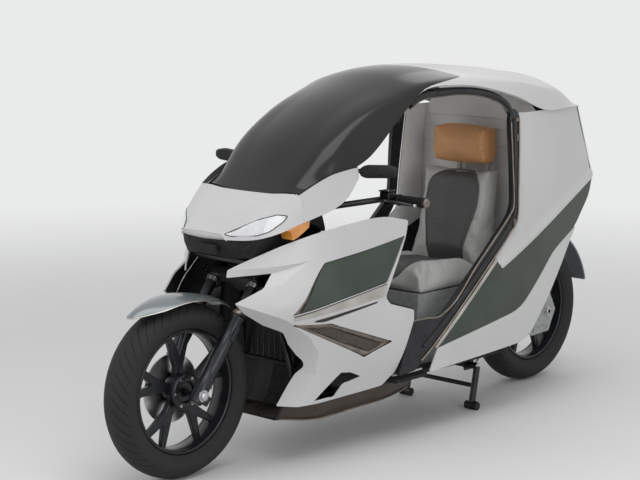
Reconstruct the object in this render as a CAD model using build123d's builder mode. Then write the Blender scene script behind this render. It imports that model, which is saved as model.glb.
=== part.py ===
"""Roofed motorcycle. +X is forward, +Y is its left side, +Z is up, millimetres.

The origin is on the floor under the middle of the vehicle's length.
"""
from build123d import *
from math import cos, radians, sin, tan
import os

os.makedirs("parts", exist_ok=True)

# Wheels
wheelbase = 1937
front_axle_x = 991
tyre_radius = 299
tyre_width = 120
tyre_height = 86
bead_radius = tyre_radius - tyre_height
rim_width = 84
rim_wall = 9
hub_radius = 38
hub_width = 70
spoke_count = 5
spoke_width = 14
axle_radius = 8
bore_clearance = 0.3
disc_radius = 0.56 * bead_radius
disc_thickness = 5
rear_axle_x = front_axle_x - wheelbase

# Fork and steering
rake = 38
fork_offset = 50
fork_half_track = 100
slider_radius = 24
tube_radius = 19
slider_length = 300
fork_length = 640
lower_clamp_at = 430
upper_clamp_at = 600
clamp_height = 30
stem_radius = 14
head_tube_radius = 28
grip_x = 130
grip_z = 877
grip_half_span = 350
grip_length = 120
grip_radius = 17
bar_radius = 11
bar_spread = grip_half_span - grip_length - 35
column_rake = 20
column_x = 432
column_z = 700
column_length = 160
column_radius = 15

# Panels
wall = 5
seam = 0.6
seat_gap = 0.3

# Centre stand
stand_pivot_x = -420
stand_pivot_z = 165
stand_half_track = 165
stand_tube_radius = 13
stand_foot_radius = 16
stand_lean = 12
stand_swing = 80


def save(piece, name):
    """Label one finished piece and write it as its own STEP file."""
    piece.part.label = name
    export_step(piece.part, f"parts/{name}.step")


def plan_section(height, points):
    """Closed polygon in a level plane, from (x, y) points."""
    with BuildSketch(Plane.XY.offset(height)) as profile:
        with BuildLine():
            Polyline(*points, close=True)
        make_face()
    return profile.sketch


def cross_section(station, points):
    """Closed polygon across the vehicle at x = station, from (y, z) points."""
    with BuildSketch(Plane.YZ.offset(station)) as profile:
        with BuildLine():
            Polyline(*points, close=True)
        make_face()
    return profile.sketch


def side_outline(points):
    """Closed polygon in the side view, from (x, z) points."""
    with BuildSketch(Plane.XZ) as profile:
        with BuildLine():
            Polyline(*points, close=True)
        make_face()
    return profile.sketch


def side_block(points, inner, outer):
    """Side view polygon extruded from y = inner to y = outer."""
    block = extrude(side_outline(points), amount=outer - inner, dir=(0, 1, 0), mode=Mode.PRIVATE)
    return block.moved(Location((0, inner, 0)))


def rod(start, end, radius):
    """Round rod between two points."""
    axis = Vector(*end) - Vector(*start)
    with BuildPart() as piece:
        with BuildSketch(Plane(origin=start, z_dir=axis)):
            Circle(radius)
        extrude(amount=axis.length)
    return piece.part


def tube_path(points, radius, bend):
    """Round tube along straight runs joined by arcs."""
    with BuildPart() as piece:
        with BuildLine() as path:
            FilletPolyline(*points, radius=bend)
        with BuildSketch(Plane(origin=path.line @ 0, z_dir=path.line % 0)):
            Circle(radius)
        sweep()
    return piece.part


def shrunk(points, gap):
    """The same outline with its corners moved towards its middle by the gap."""
    middle = Vector(sum(x for x, z in points) / len(points), sum(z for x, z in points) / len(points))
    moved = [Vector(*point) + (middle - Vector(*point)).normalized() * gap for point in points]
    return [(point.X, point.Y) for point in moved]


# Steering axis: it runs up and back behind the fork legs
rake_sin = sin(radians(rake))
rake_cos = cos(radians(rake))


def on_fork(along, side=0.0, ahead=0.0):
    """Point from the front axle: along the fork legs, to the left, and ahead of them."""
    return (
        front_axle_x - along * rake_sin + ahead * rake_cos,
        side,
        tyre_radius + along * rake_cos + ahead * rake_sin,
    )


fork_up = (-rake_sin, 0, rake_cos)

# One forked spoke along +X: a stem out of the hub that splits into two prongs
fork_at = 0.42 * bead_radius
prong_half = 0.22 * bead_radius
spoke_root = hub_radius - 6
spoke_end = 0.945 * bead_radius
spoke_shape = [(spoke_root, -spoke_width), (fork_at, -spoke_width * 0.8), (spoke_end, -prong_half - spoke_width * 0.8),
               (spoke_end, -prong_half), (fork_at + spoke_width * 1.6, 0), (spoke_end, prong_half),
               (spoke_end, prong_half + spoke_width * 0.8), (fork_at, spoke_width * 0.8), (spoke_root, spoke_width)]

# Wheels, one after the other
for name, axle_x in (("front", front_axle_x), ("rear", rear_axle_x)):
    wheel_plane = Plane(origin=(axle_x, 0, tyre_radius), x_dir=(1, 0, 0), z_dir=(0, -1, 0))
    turn_axis = Axis((axle_x, 0, tyre_radius), (0, 1, 0))

    with BuildPart() as tyre:
        with BuildSketch(Plane(origin=(axle_x, 0, tyre_radius), x_dir=(0, 1, 0), z_dir=(1, 0, 0))):
            with BuildLine():
                shoulder = tyre_width / 2
                inner_edge = Line((-rim_width / 2, bead_radius), (rim_width / 2, bead_radius))
                right_wall = Line(inner_edge @ 1, (shoulder, bead_radius + 42))
                crown = ThreePointArc(right_wall @ 1, (0, tyre_radius), (-shoulder, bead_radius + 42))
                Line(crown @ 1, inner_edge @ 0)
            make_face()
        revolve(axis=turn_axis)
    save(tyre, f"{name}_tyre")

    with BuildPart() as rim:
        with BuildSketch(wheel_plane):
            Circle(bead_radius)
            Circle(bead_radius - rim_wall, mode=Mode.SUBTRACT)
        extrude(amount=rim_width / 2, both=True)
        with BuildSketch(wheel_plane):
            Circle(hub_radius)
        extrude(amount=hub_width / 2, both=True)
        with BuildSketch(wheel_plane):
            with PolarLocations(0, spoke_count):
                Polygon(*spoke_shape, align=None)
        extrude(amount=spoke_width, both=True)
        with BuildSketch(wheel_plane):
            Circle(axle_radius + bore_clearance)
        extrude(amount=hub_width, both=True, mode=Mode.SUBTRACT)
    save(rim, f"{name}_rim")

    disc_plane = wheel_plane.offset(hub_width / 2)
    with BuildPart() as disc:
        with BuildSketch(disc_plane):
            Circle(disc_radius)
            Circle(axle_radius + bore_clearance, mode=Mode.SUBTRACT)
        extrude(amount=disc_thickness)
    save(disc, f"{name}_disc")

# Fork legs: a thick lower slider with the axle's lug, the thinner tube above, and the axle between them
axle_half = fork_half_track + slider_radius + 6
with BuildPart() as fork_legs:
    for side in (-fork_half_track, fork_half_track):
        add(rod(on_fork(-28, side), on_fork(slider_length, side), slider_radius))
        add(rod(on_fork(slider_length, side), on_fork(fork_length, side), tube_radius))
    add(rod((front_axle_x, -axle_half, tyre_radius), (front_axle_x, axle_half, tyre_radius), axle_radius))
save(fork_legs, "fork_legs")

# Two clamps hold the legs, and the stem between them turns in the head tube
clamp_half = fork_half_track + tube_radius + 11
with BuildPart() as fork_clamps:
    for along in (lower_clamp_at, upper_clamp_at):
        clamp_plane = Plane(origin=on_fork(along), x_dir=(0, 1, 0), z_dir=fork_up)
        with BuildSketch(clamp_plane):
            with Locations((0, 0)):
                Rectangle(2 * clamp_half, 2 * (tube_radius + 11))
            with Locations((0, fork_offset - 6)):
                Rectangle(2 * stem_radius + 60, 2 * fork_offset - 36)
            with Locations((-fork_half_track, 0), (fork_half_track, 0)):
                Circle(tube_radius + seat_gap, mode=Mode.SUBTRACT)
        extrude(amount=clamp_height)
    add(rod(on_fork(lower_clamp_at + 1, 0, -fork_offset),
            on_fork(upper_clamp_at + clamp_height, 0, -fork_offset), stem_radius))
save(fork_clamps, "fork_clamps")

# Leaf shaped mudguard: a thin arched leaf, lower along its edges, on a bridge between the legs
guard_sheet = 4
# Columns: angle ahead of straight up from the axle, clearance over the tyre, half width, drop of the edge
guard_stations = (
    (35.5, 56, 5, 2),
    (28.5, 49, 26, 5),
    (19.9, 40, 54, 9),
    (3.3, 30, 80, 13),
    (-14.2, 29, 76, 13),
    (-26.6, 37, 62, 10),
    (-39, 41, 46, 7),
)
with BuildPart() as front_mudguard:
    leaf = []
    for angle, clearance, half, drop in guard_stations:
        crown = tyre_radius + (tyre_radius + clearance) * cos(radians(angle))
        station = front_axle_x + (tyre_radius + clearance) * sin(radians(angle))
        leaf.append(cross_section(station, [
            (half, crown - drop), (half * 0.6, crown - drop * 0.3), (0, crown), (-half * 0.6, crown - drop * 0.3),
            (-half, crown - drop), (-half, crown - drop - guard_sheet), (-half * 0.6, crown - drop * 0.3 - guard_sheet),
            (0, crown - guard_sheet), (half * 0.6, crown - drop * 0.3 - guard_sheet),
            (half, crown - drop - guard_sheet)]))
    loft(sections=leaf, ruled=True)
    bridge_plane = Plane(origin=on_fork(333), x_dir=(0, 1, 0), z_dir=fork_up)
    with BuildSketch(bridge_plane):
        Rectangle(2 * (fork_half_track - tube_radius - seat_gap), 30)
    extrude(amount=24)
save(front_mudguard, "front_mudguard")

# Brake calliper over the disc's edge, on a lug behind the right leg
with BuildPart() as front_calliper:
    calliper_plane = Plane.XZ.offset(hub_width / 2 + disc_thickness + 2)
    lug = on_fork(70, 0, 10)
    with BuildSketch(calliper_plane):
        with Locations(Location((lug[0] + 26, lug[2], 0), (0, 0, 90 + rake))):
            Rectangle(70, 60)
    extrude(amount=fork_half_track - slider_radius - hub_width / 2 - disc_thickness - 2.5)
save(front_calliper, "front_calliper")

# Handlebar on its own column behind the nose, which a hidden link turns with the fork
column_sin = sin(radians(column_rake))
column_cos = cos(radians(column_rake))


def on_column(along):
    """Point along the column's axis, up from its lower bearing."""
    return (column_x - along * column_sin, 0, column_z + along * column_cos)


bar_root = on_column(column_length)
with BuildPart() as handlebar:
    add(rod(on_column(-20), bar_root, column_radius))
    add(rod((bar_root[0], -(bar_radius + 25), bar_root[2]), (bar_root[0], bar_radius + 25, bar_root[2]),
            bar_radius + 6))
    for side in (-1, 1):
        add(tube_path([(bar_root[0], side * bar_radius, bar_root[2]),
                       (bar_root[0] - 20, side * 60, bar_root[2] + 4),
                       (grip_x, side * (bar_spread - 20), grip_z),
                       (grip_x, side * (grip_half_span + 4), grip_z)], bar_radius, 18))
save(handlebar, "handlebar")

with BuildPart() as hand_grips:
    for side in (-1, 1):
        grip_start = (grip_x, side * (grip_half_span - grip_length), grip_z)
        grip_end = (grip_x, side * grip_half_span, grip_z)
        add(rod(grip_start, grip_end, grip_radius))
    for side in (-1, 1):
        add(rod((grip_x, side * (bar_spread - 20), grip_z),
                (grip_x, side * (grip_half_span + 4), grip_z), bar_radius + seat_gap), mode=Mode.SUBTRACT)
save(hand_grips, "hand_grips")

# Lever holders around the bar inboard of the grips, each with its lever ahead of the grip
holder_y = grip_half_span - grip_length - 16
with BuildPart() as hand_levers:
    for side in (-1, 1):
        add(rod((grip_x, side * (holder_y - 12), grip_z), (grip_x, side * (holder_y + 12), grip_z), grip_radius + 2))
        add(tube_path([(grip_x + 8, side * holder_y, grip_z), (grip_x + 52, side * holder_y, grip_z + 2),
                       (grip_x + 46, side * (grip_half_span - 6), grip_z - 6)], 5, 9))
    for side in (-1, 1):
        add(rod((grip_x, side * (holder_y - 14), grip_z), (grip_x, side * (holder_y + 14), grip_z),
                bar_radius + seat_gap), mode=Mode.SUBTRACT)
save(hand_levers, "hand_levers")

# Frame: a head tube around the stem, a backbone down to the floor, and two rails back to the swingarm
head_base = on_fork(lower_clamp_at + clamp_height + 2, 0, -fork_offset)
head_top = on_fork(upper_clamp_at - 2, 0, -fork_offset)
rail_y = 120
rail_z = 200
rail_radius = 22
rail_front_x = 420
rail_rear_x = -520
down_tube_radius = 20
with BuildPart() as frame:
    add(rod(head_base, head_top, head_tube_radius))
    for side in (-1, 1):
        add(rod((head_base[0] - 40, 0, head_base[2] + 40), (rail_front_x, side * rail_y, rail_z), down_tube_radius))
        add(rod((rail_front_x, side * rail_y, rail_z), (rail_rear_x, side * rail_y, rail_z), rail_radius))
        add(rod((rail_rear_x, side * rail_y, rail_z), (-700, side * rail_y, 640), down_tube_radius))
    for side in (-1, 1):
        with BuildSketch(Plane.XZ.offset(side * rail_y)):
            with BuildLine():
                Polyline((stand_pivot_x - 40, rail_z), (stand_pivot_x + 40, rail_z),
                         (stand_pivot_x + 20, stand_pivot_z - 20), (stand_pivot_x - 20, stand_pivot_z - 20), close=True)
            make_face()
            with Locations((stand_pivot_x, stand_pivot_z)):
                Circle(stand_tube_radius + bore_clearance, mode=Mode.SUBTRACT)
        extrude(amount=4, both=True)
    for cross_x in (rail_front_x, -100, stand_pivot_x + 50):
        add(rod((cross_x, -rail_y, rail_z), (cross_x, rail_y, rail_z), rail_radius - 6))
    add(rod((-700, -rail_y, 640), (-700, rail_y, 640), down_tube_radius))
    add(rod(on_fork(500, 0, -fork_offset), on_column(10), down_tube_radius - 6))
    add(rod(on_column(0), on_column(column_length - 45), column_radius + 8))
    add(rod(on_fork(lower_clamp_at, 0, -fork_offset), on_fork(upper_clamp_at + clamp_height, 0, -fork_offset),
            stem_radius + bore_clearance), mode=Mode.SUBTRACT)
    add(rod(on_column(-50), on_column(column_length), column_radius + bore_clearance), mode=Mode.SUBTRACT)
save(frame, "frame")

# Heavy closed mass: motor and battery as one block on the floor
floor_z = rail_z + rail_radius + seat_gap
floor_sheet = 12
motor_box = (370, 190, 240)
motor_x = -246
with BuildPart() as motor_block:
    with Locations((motor_x, 0, floor_z + floor_sheet + seat_gap + motor_box[2] / 2)):
        Box(*motor_box)
save(motor_block, "motor_block")

arm_y = 82
arm_section = 28
arm_pivot = (rail_rear_x + 45, rail_z)
with BuildPart() as swingarm:
    for side in (-1, 1):
        add(rod((arm_pivot[0], side * arm_y, arm_pivot[1]), (rear_axle_x + 20, side * arm_y, tyre_radius), arm_section / 2))
        add(rod((rear_axle_x, side * (arm_y - 16), tyre_radius), (rear_axle_x, side * (arm_y + 16), tyre_radius), 30))
    add(rod((arm_pivot[0], rail_radius + seat_gap - rail_y, arm_pivot[1]),
            (arm_pivot[0], rail_y - rail_radius - seat_gap, arm_pivot[1]), arm_section / 2 + 2))
    add(rod((rear_axle_x, -arm_y - 40, tyre_radius), (rear_axle_x, arm_y + 40, tyre_radius), axle_radius))
save(swingarm, "swingarm")

# Plate that covers the left end of the swingarm and the axle's nut
with BuildPart() as hub_cover:
    with BuildSketch(Plane.XZ.offset(-arm_y - 16 - seat_gap)):
        with BuildLine():
            Polyline(*[(rear_axle_x + ahead, tyre_radius + over) for ahead, over in (
                (246, 36), (86, 101), (-14, 86), (-59, 1), (-14, -84), (96, -89), (256, -39))], close=True)
        make_face()
        with Locations((rear_axle_x, tyre_radius)):
            Circle(axle_radius + seat_gap, mode=Mode.SUBTRACT)
    extrude(amount=-14)
save(hub_cover, "hub_cover")

# Centre stand: a cross tube in the frame's lugs, two legs, and feet that stand on the floor
stand_foot_x = stand_pivot_x + (stand_pivot_z - stand_foot_radius) * tan(radians(stand_lean))
with BuildPart() as centre_stand:
    add(rod((stand_pivot_x, -stand_half_track, stand_pivot_z), (stand_pivot_x, stand_half_track, stand_pivot_z),
            stand_tube_radius))
    for side in (-1, 1):
        add(rod((stand_pivot_x, side * stand_half_track, stand_pivot_z),
                (stand_foot_x, side * stand_half_track, stand_foot_radius), stand_tube_radius))
        add(rod((stand_foot_x, side * (stand_half_track - 25), stand_foot_radius),
                (stand_foot_x, side * (stand_half_track + 30), stand_foot_radius), stand_foot_radius))
    add(rod((stand_foot_x - 16, -stand_half_track, 90), (stand_foot_x - 16, stand_half_track, 90), stand_tube_radius - 4))
save(centre_stand, "centre_stand")


def hoop_section(station, half_width, low, shoulder_y, shoulder, crown):
    """One arched wall across the vehicle."""
    outer = [(half_width, low), (shoulder_y, shoulder), (shoulder_y / 2, (shoulder + 3 * crown) / 4), (0, crown)]
    inner = [(y - wall if y else 0, z - wall if index else z) for index, (y, z) in enumerate(outer)]
    inner[2] = (outer[2][0] - 1, outer[2][1] - wall)
    right_outer = [(-y, z) for y, z in outer[:-1]]
    right_inner = [(-y, z) for y, z in inner[:-1]]
    points = outer + right_outer[::-1] + right_inner + inner[::-1]
    return cross_section(station, points)


# Canopy of windscreen and roof, columns: station, side foot y and z, shoulder y and z, crown z
canopy_stations = (
    (650, 203, 942, 150, 945, 950),
    (490, 255, 990, 215, 1078, 1112),
    (340, 276, 1050, 225, 1172, 1210),
    (150, 268, 1190, 235, 1248, 1290),
    (29, 262, 1264, 240, 1286, 1326),
    (-160, 285, 1275, 250, 1302, 1338),
    (-450, 298, 1222, 255, 1280, 1322),
    (-680, 284, 1151, 248, 1240, 1294),
    (-880, 266, 1151, 215, 1200, 1245),
    (-935, 258, 1151, 190, 1160, 1175),
)
# Plan view of the line where the roof begins: its middle, its corner over each shoulder, and its end at each side
roof_line = [(-90, 0), (-190, 220), (64, 262), (66, 300)]


def ahead_of_roof_line(gap):
    """Everything ahead of the line between windscreen and roof, moved forward by the gap."""
    left = [(x + gap, y) for x, y in roof_line]
    right = [(x, -y) for x, y in left[1:]]
    region = plan_section(800, [(900, 500), (left[-1][0], 500)] + left[::-1] + right + [(left[-1][0], -500), (900, -500)])
    return extrude(region, amount=700, mode=Mode.PRIVATE)


canopy_skin = loft(sections=[hoop_section(*row) for row in canopy_stations], ruled=True)
with BuildPart() as windscreen:
    add(canopy_skin)
    add(ahead_of_roof_line(seam), mode=Mode.INTERSECT)
save(windscreen, "windscreen")

with BuildPart() as roof:
    add(canopy_skin)
    add(ahead_of_roof_line(0), mode=Mode.SUBTRACT)
save(roof, "roof")

# Nose cowl: hood below the screen, whose sides run back as blades
# Columns: station, side foot y and z, shoulder y and z, crown z
nose_stations = (
    (875, 100, 806, 84, 822, 826),
    (830, 150, 803, 140, 836, 842),
    (795, 183, 806, 168, 862, 870),
    (735, 222, 822, 197, 901, 908),
    (650 + seam, 254, 852, 238, 944, 949),
)
# Columns: station, foot y and z, top y and z, inner edge y and z beside the screen
blade_stations = (
    (664, 249, 848, 234, 942, 212, 938),
    (590, 266, 868, 250, 975, 229, 960),
    (518, 280, 890, 262, 1002, 250, 984),
    (456, 284, 924, 272, 1014, 262, 1002),
    (404, 286, 985, 281, 1022, 272, 1020),
)
nose_skin = loft(sections=[hoop_section(*row) for row in nose_stations], ruled=True)
# Front view of the left lamp's opening
lamp_opening = [(98, 823), (140, 850), (180, 873), (212, 885), (231, 880), (226, 861), (206, 831), (183, 819), (120, 817)]


def front_prism(points):
    """Front view polygon extruded through the whole nose, on both sides."""
    prisms = [extrude(cross_section(600, [(side * y, z) for y, z in points]), amount=400) for side in (-1, 1)]
    return prisms[0] + prisms[1]


lamp_cut = front_prism(lamp_opening)
lens_cut = front_prism(shrunk(lamp_opening, 2 * seam))
with BuildPart() as nose_cowl:
    add(nose_skin)
    add(lamp_cut, mode=Mode.SUBTRACT)
    for side in (-1, 1):
        loft(sections=[cross_section(x, [(side * foot_y, foot_z), (side * top_y, top_z), (side * edge_y, edge_z),
                                         (side * edge_y, edge_z - wall), (side * (top_y - wall), top_z - 2.4 * wall),
                                         (side * (foot_y - wall), foot_z)])
                       for x, foot_y, foot_z, top_y, top_z, edge_y, edge_z in blade_stations], ruled=True)
save(nose_cowl, "nose_cowl")

with BuildPart() as headlights:
    add(nose_skin)
    add(lens_cut, mode=Mode.INTERSECT)
save(headlights, "headlights")

# Fairing sides, level sections. Columns: height, front edge x and y, shoulder x and y, middle x and y, rear y
fairing_levels = (
    (205, 690, 165, 650, 222, 400, 240, 246),
    (320, 615, 200, 582, 250, 430, 280, 286),
    (400, 635, 200, 592, 272, 450, 300, 302),
    (480, 712, 198, 665, 284, 470, 312, 313),
    (545, 825, 176, 740, 290, 480, 318, 318),
    (605, 895, 172, 760, 290, 490, 320, 321),
    (700, 850, 112, 740, 238, 490, 314, 324),
    (870, 700, 180, 640, 250, 420, 310, 324),
)
fairing_rear_x = 20
fairing_outline = [(893, 602), (806, 646), (753, 690), (861, 676), (857, 701), (700, 789), (608, 817), (500, 833),
                   (370, 846), (295, 844), (187, 820), (200, 768), (304, 562), (277, 533), (142, 492), (136, 455),
                   (190, 262), (208, 252), (240, 222), (560, 212), (690, 215), (634, 305), (608, 345), (613, 370),
                   (673, 440), (716, 485), (778, 515), (851, 562)]
insert_outline = [(738, 553), (588, 715), (205, 768), (298, 612)]
vent_outline = [(728, 520), (569, 505), (249, 393), (386, 358)]
opening_outline = [(580, 220), (477, 313), (435, 308), (367, 279), (455, 262), (486, 220)]
strip_outline = [(726, 545), (732, 534), (306, 566), (300, 604)]


def fairing_skin(levels, depth):
    """Left fairing wall, depth inside the outer surface at its outer face."""
    sections = []
    for height, front_x, front_y, shoulder_x, shoulder_y, middle_x, middle_y, rear_y in levels:
        outer = [(front_x, front_y), (shoulder_x, shoulder_y), (middle_x, middle_y), (fairing_rear_x, rear_y)]
        outer = [(x - depth, y - depth) for x, y in outer]
        inner = [(x - wall, y - wall) for x, y in outer]
        inner[-1] = (fairing_rear_x - depth, inner[-1][1])
        sections.append(plan_section(height, outer + inner[::-1]))
    return loft(sections=sections, ruled=True, mode=Mode.PRIVATE)


with BuildPart() as fairings:
    add(fairing_skin(fairing_levels, 0))
    add(side_block(fairing_outline, 0, 500), mode=Mode.INTERSECT)
    for outline in (insert_outline, vent_outline, opening_outline):
        add(side_block(outline, 0, 500), mode=Mode.SUBTRACT)
    mirror(about=Plane.XZ)
save(fairings, "fairings")


for name, outline in (("fairing_inserts", insert_outline), ("fairing_vents", vent_outline)):
    with BuildPart() as inset_panel:
        add(fairing_skin(fairing_levels, 2))
        add(side_block(shrunk(outline, 2 * seam), 0, 500), mode=Mode.INTERSECT)
        mirror(about=Plane.XZ)
    save(inset_panel, name)

# Amber indicators between the nose's blades and the fairings
with BuildPart() as indicators:
    with BuildSketch(Plane.XZ.offset(-200)):
        with BuildLine():
            Polyline((706, 831.4), (664, 846.8), (612, 860.8), (618, 834), (672, 806), (694, 800), close=True)
        make_face()
    extrude(amount=-52)
    mirror(about=Plane.XZ)
save(indicators, "indicators")

# Tail sides, level sections. Columns: height, front y, middle y, rear x, rear y
tail_levels = (
    (160, 285, 290, -700, 280),
    (400, 300, 312, -900, 280),
    (600, 305, 316, -960, 268),
    (870, 302, 314, -1045, 258),
    (1150.5, 288, 296, -935, 258),
)
tail_front_x = 210
tail_middle_x = -500


def tail_skin(depth, thickness=wall):
    """Left tail wall, depth inside the outer surface at its outer face."""
    sections = []
    for height, front_y, middle_y, rear_x, rear_y in tail_levels:
        outer = [(tail_front_x, front_y - depth), (tail_middle_x, middle_y - depth), (rear_x, rear_y - depth)]
        inner = [(x, y - thickness) for x, y in outer]
        sections.append(plan_section(height, outer + inner[::-1]))
    return loft(sections=sections, ruled=True, mode=Mode.PRIVATE)


# Side view outlines of the tail panels, the bright strips and the door frame that they border
tail_outline = [(-500, 1150.5), (-935, 1150.5), (-1045, 870), (-1035, 854), (-372, 573), (-341, 609), (-328, 621.6),
                (-470, 745)]
green_outline = [(-1036, 853), (-372, 572), (-340, 607.2), (-12, 325), (-498, 402), (-732, 597), (-903, 673),
                 (-1012, 786)]
trim_outline = [(25, 240), (-12, 324), (-498, 401.2), (-731, 596.2), (-904, 672.2), (-800, 545), (-560, 268)]
door_outline = [(-420, 1186), (-460, 1170), (-498.6, 1142), (-469.2, 745.5), (11, 330), (60, 287), (100, 258),
                (187, 252), (134, 452), (134, 440), (-26, 440), (-431, 790), (-431, 1110), (-436, 1150)]
rear_strip = [(-339.5, 607.9), (-327, 621.6), (9, 330.9), (-9, 324.7)]
for name, outline, depth, thickness in (("tail_panels", tail_outline, 0, wall), ("green_panels", green_outline, 3, wall),
                                        ("lower_trims", trim_outline, 0, wall), ("door_frames", door_outline, 3, 18)):
    with BuildPart() as panel:
        add(tail_skin(depth, thickness))
        add(side_block(outline, 0, 500), mode=Mode.INTERSECT)
        if name == "door_frames":
            add(tube_path([(20, 240, 1238), (-160, 262, 1250), (-330, 272, 1226), (-440, 276, 1180), (-450, 277, 1110)], 12, 45))
        mirror(about=Plane.XZ)
    save(panel, name)

# Bright strips: below the fairings' inserts, and between the door frames and the green panels
with BuildPart() as bright_strips:
    add(fairing_skin(fairing_levels, -4))
    add(side_block(strip_outline, 0, 500), mode=Mode.INTERSECT)
    add(fairing_skin(fairing_levels, -seat_gap), mode=Mode.SUBTRACT)
    with BuildPart(mode=Mode.PRIVATE) as rear_piece:
        add(tail_skin(0, wall + 3))
        add(side_block(rear_strip, 0, 500), mode=Mode.INTERSECT)
    add(rear_piece.part)
    mirror(about=Plane.XZ)
save(bright_strips, "bright_strips")

# Inside of the nose: a dark bulkhead across the vehicle behind the fork, with room for the head tube
with BuildPart() as nose_recess:
    with BuildSketch(Plane.XZ):
        with BuildLine():
            Polyline((470, 800), (484, 800), (530, 590), (560, 470), (545, 250), (530, 250), (546, 470), (516, 590),
                     close=True)
        make_face()
    extrude(amount=170, both=True)
    add(rod(on_fork(500, 0, -fork_offset), on_column(10), down_tube_radius - 6 + seat_gap), mode=Mode.SUBTRACT)
    add(rod(on_column(-20), on_column(column_length), column_radius + 12), mode=Mode.SUBTRACT)
    add(rod(on_fork(200, 0, -fork_offset), on_fork(800, 0, -fork_offset), 62), mode=Mode.SUBTRACT)
    for side in (-1, 1):
        add(rod((head_base[0] - 40, 0, head_base[2] + 40), (rail_front_x, side * rail_y, rail_z),
                down_tube_radius + seat_gap), mode=Mode.SUBTRACT)
save(nose_recess, "nose_recess")

# Belly pan under the frame rails. Columns: station, half width, bottom, side top
belly_stations = ((655, 150, 150, 200), (500, 190, 130, 200), (150, 225, 150, 222), (20, 215, 165, 215))
with BuildPart() as belly_pan:
    loft(sections=[cross_section(x, [(half, top), (half - 30, low), (30 - half, low), (-half, top),
                                     (wall - half, top), (35 - half, low + wall), (half - 35, low + wall),
                                     (half - wall, top)])
                   for x, half, low, top in belly_stations], ruled=True)
save(belly_pan, "belly_pan")

# Step-through floor on the rails, which runs back under the motor and the seat box
floor_half = 240
door_floor_half = 277
foot_mat_half = 232
foot_mat_height = 3
with BuildPart() as floor_board:
    with BuildSketch(Plane.XY.offset(floor_z)):
        with BuildLine():
            Polyline((405, 200), (405, floor_half), (196, floor_half), (186, door_floor_half), (20, door_floor_half),
                     (10, floor_half), (-450, floor_half), (-450, -floor_half), (10, -floor_half),
                     (20, -door_floor_half), (186, -door_floor_half), (196, -floor_half), (405, -floor_half), close=True)
        make_face()
    extrude(amount=floor_sheet)
    with BuildSketch(Plane.XY.offset(floor_z + floor_sheet)):
        with Locations((190, 0)):
            Rectangle(410, 2 * foot_mat_half)
    extrude(amount=foot_mat_height)
save(floor_board, "floor_board")

# Seat box over the motor: a hollow box, open below, that stands on the floor
seat_front_x = -60
seat_rear_x = -440
seat_low_z = 500
seat_top_z = 590
seat_half = 180
with BuildPart() as seat_box:
    with BuildSketch(Plane.XZ):
        with BuildLine():
            Polyline((seat_front_x + 30, floor_z + floor_sheet + seat_gap), (seat_front_x + 10, seat_low_z - seat_gap),
                     (seat_rear_x - 5, seat_low_z - seat_gap), (seat_rear_x - 5, floor_z + floor_sheet + seat_gap),
                     close=True)
        make_face()
    extrude(amount=seat_half - 6, both=True)
    with BuildSketch(Plane.XZ):
        with BuildLine():
            Polyline((seat_front_x + 25, floor_z), (seat_front_x + 5, seat_low_z - seat_gap - wall),
                     (seat_rear_x, seat_low_z - seat_gap - wall), (seat_rear_x, floor_z), close=True)
        make_face()
    extrude(amount=seat_half - 6 - wall, both=True, mode=Mode.SUBTRACT)
save(seat_box, "seat_box")

# Seat, backrest and headrest as plain closed cushions
with BuildPart() as seat_base:
    with BuildSketch(Plane.XZ):
        with BuildLine():
            Polyline((seat_front_x, seat_low_z), (seat_front_x + 20, seat_low_z + 60),
                     (seat_front_x - 10, seat_top_z), (seat_rear_x + 30, seat_top_z - 25),
                     (seat_rear_x, seat_low_z), close=True)
        make_face()
    extrude(amount=seat_half, both=True)
save(seat_base, "seat_base")

with BuildPart() as seat_back:
    with BuildSketch(Plane.XZ):
        with BuildLine():
            Polyline((seat_rear_x + 30 - seat_gap, seat_top_z - 25), (-505, 930), (-570, 930), (-530, 560),
                     (seat_rear_x - seat_gap, seat_low_z), close=True)
        make_face()
    extrude(amount=seat_half - 10, both=True)
save(seat_back, "seat_back")

with BuildPart() as headrest:
    with BuildSketch(Plane.XZ):
        with BuildLine():
            Polyline((-490, 1075), (-576, 1078), (-584, 990), (-560, 960), (-500, 962), (-484, 1000), close=True)
        make_face()
    extrude(amount=125, both=True)
save(headrest, "headrest")

# Two bent tubes behind the backrest carry the headrest
with BuildPart() as headrest_post:
    for side in (-1, 1):
        add(tube_path([(-576, side * 70, 620), (-590.4, side * 70, 900), (-597, side * 70, 1050)], 10, 80))
        add(rod((-578, side * 70, 660), (-625 + seat_gap, side * 70, 660), 10))
    add(rod((-595, -70, 1000), (-595, 70, 1000), 10))
save(headrest_post, "headrest_post")

bulkhead_x = -625
with BuildPart() as rear_bulkhead:
    with BuildSketch(Plane.YZ.offset(bulkhead_x)):
        with BuildLine():
            Polyline((-291.8, 580), (291.8, 580), (293.8, 870), (274.8, 1135), (200, 1225), (-200, 1225),
                     (-274.8, 1135), (-293.8, 870), close=True)
        make_face()
    extrude(amount=-12)
    with BuildSketch(Plane.YZ.offset(-700 + down_tube_radius + seat_gap)):
        with Locations((0, 640)):
            Rectangle(120, 12)
    extrude(amount=48)
    for side in (-1, 1):
        add(rod((rail_rear_x, side * rail_y, rail_z), (-700, side * rail_y, 640),
                down_tube_radius + bore_clearance), mode=Mode.SUBTRACT)
save(rear_bulkhead, "rear_bulkhead")

# Instrument panel behind the screen's foot
with BuildPart() as dash:
    with BuildSketch(Plane.XZ):
        with BuildLine():
            Polyline((640, 905), (560, 922), (500, 900), (472, 812), (472, 800.3), (484, 800.3), (520, 826), (640, 860), close=True)
        make_face()
    extrude(amount=190, both=True)
save(dash, "dash")

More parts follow.
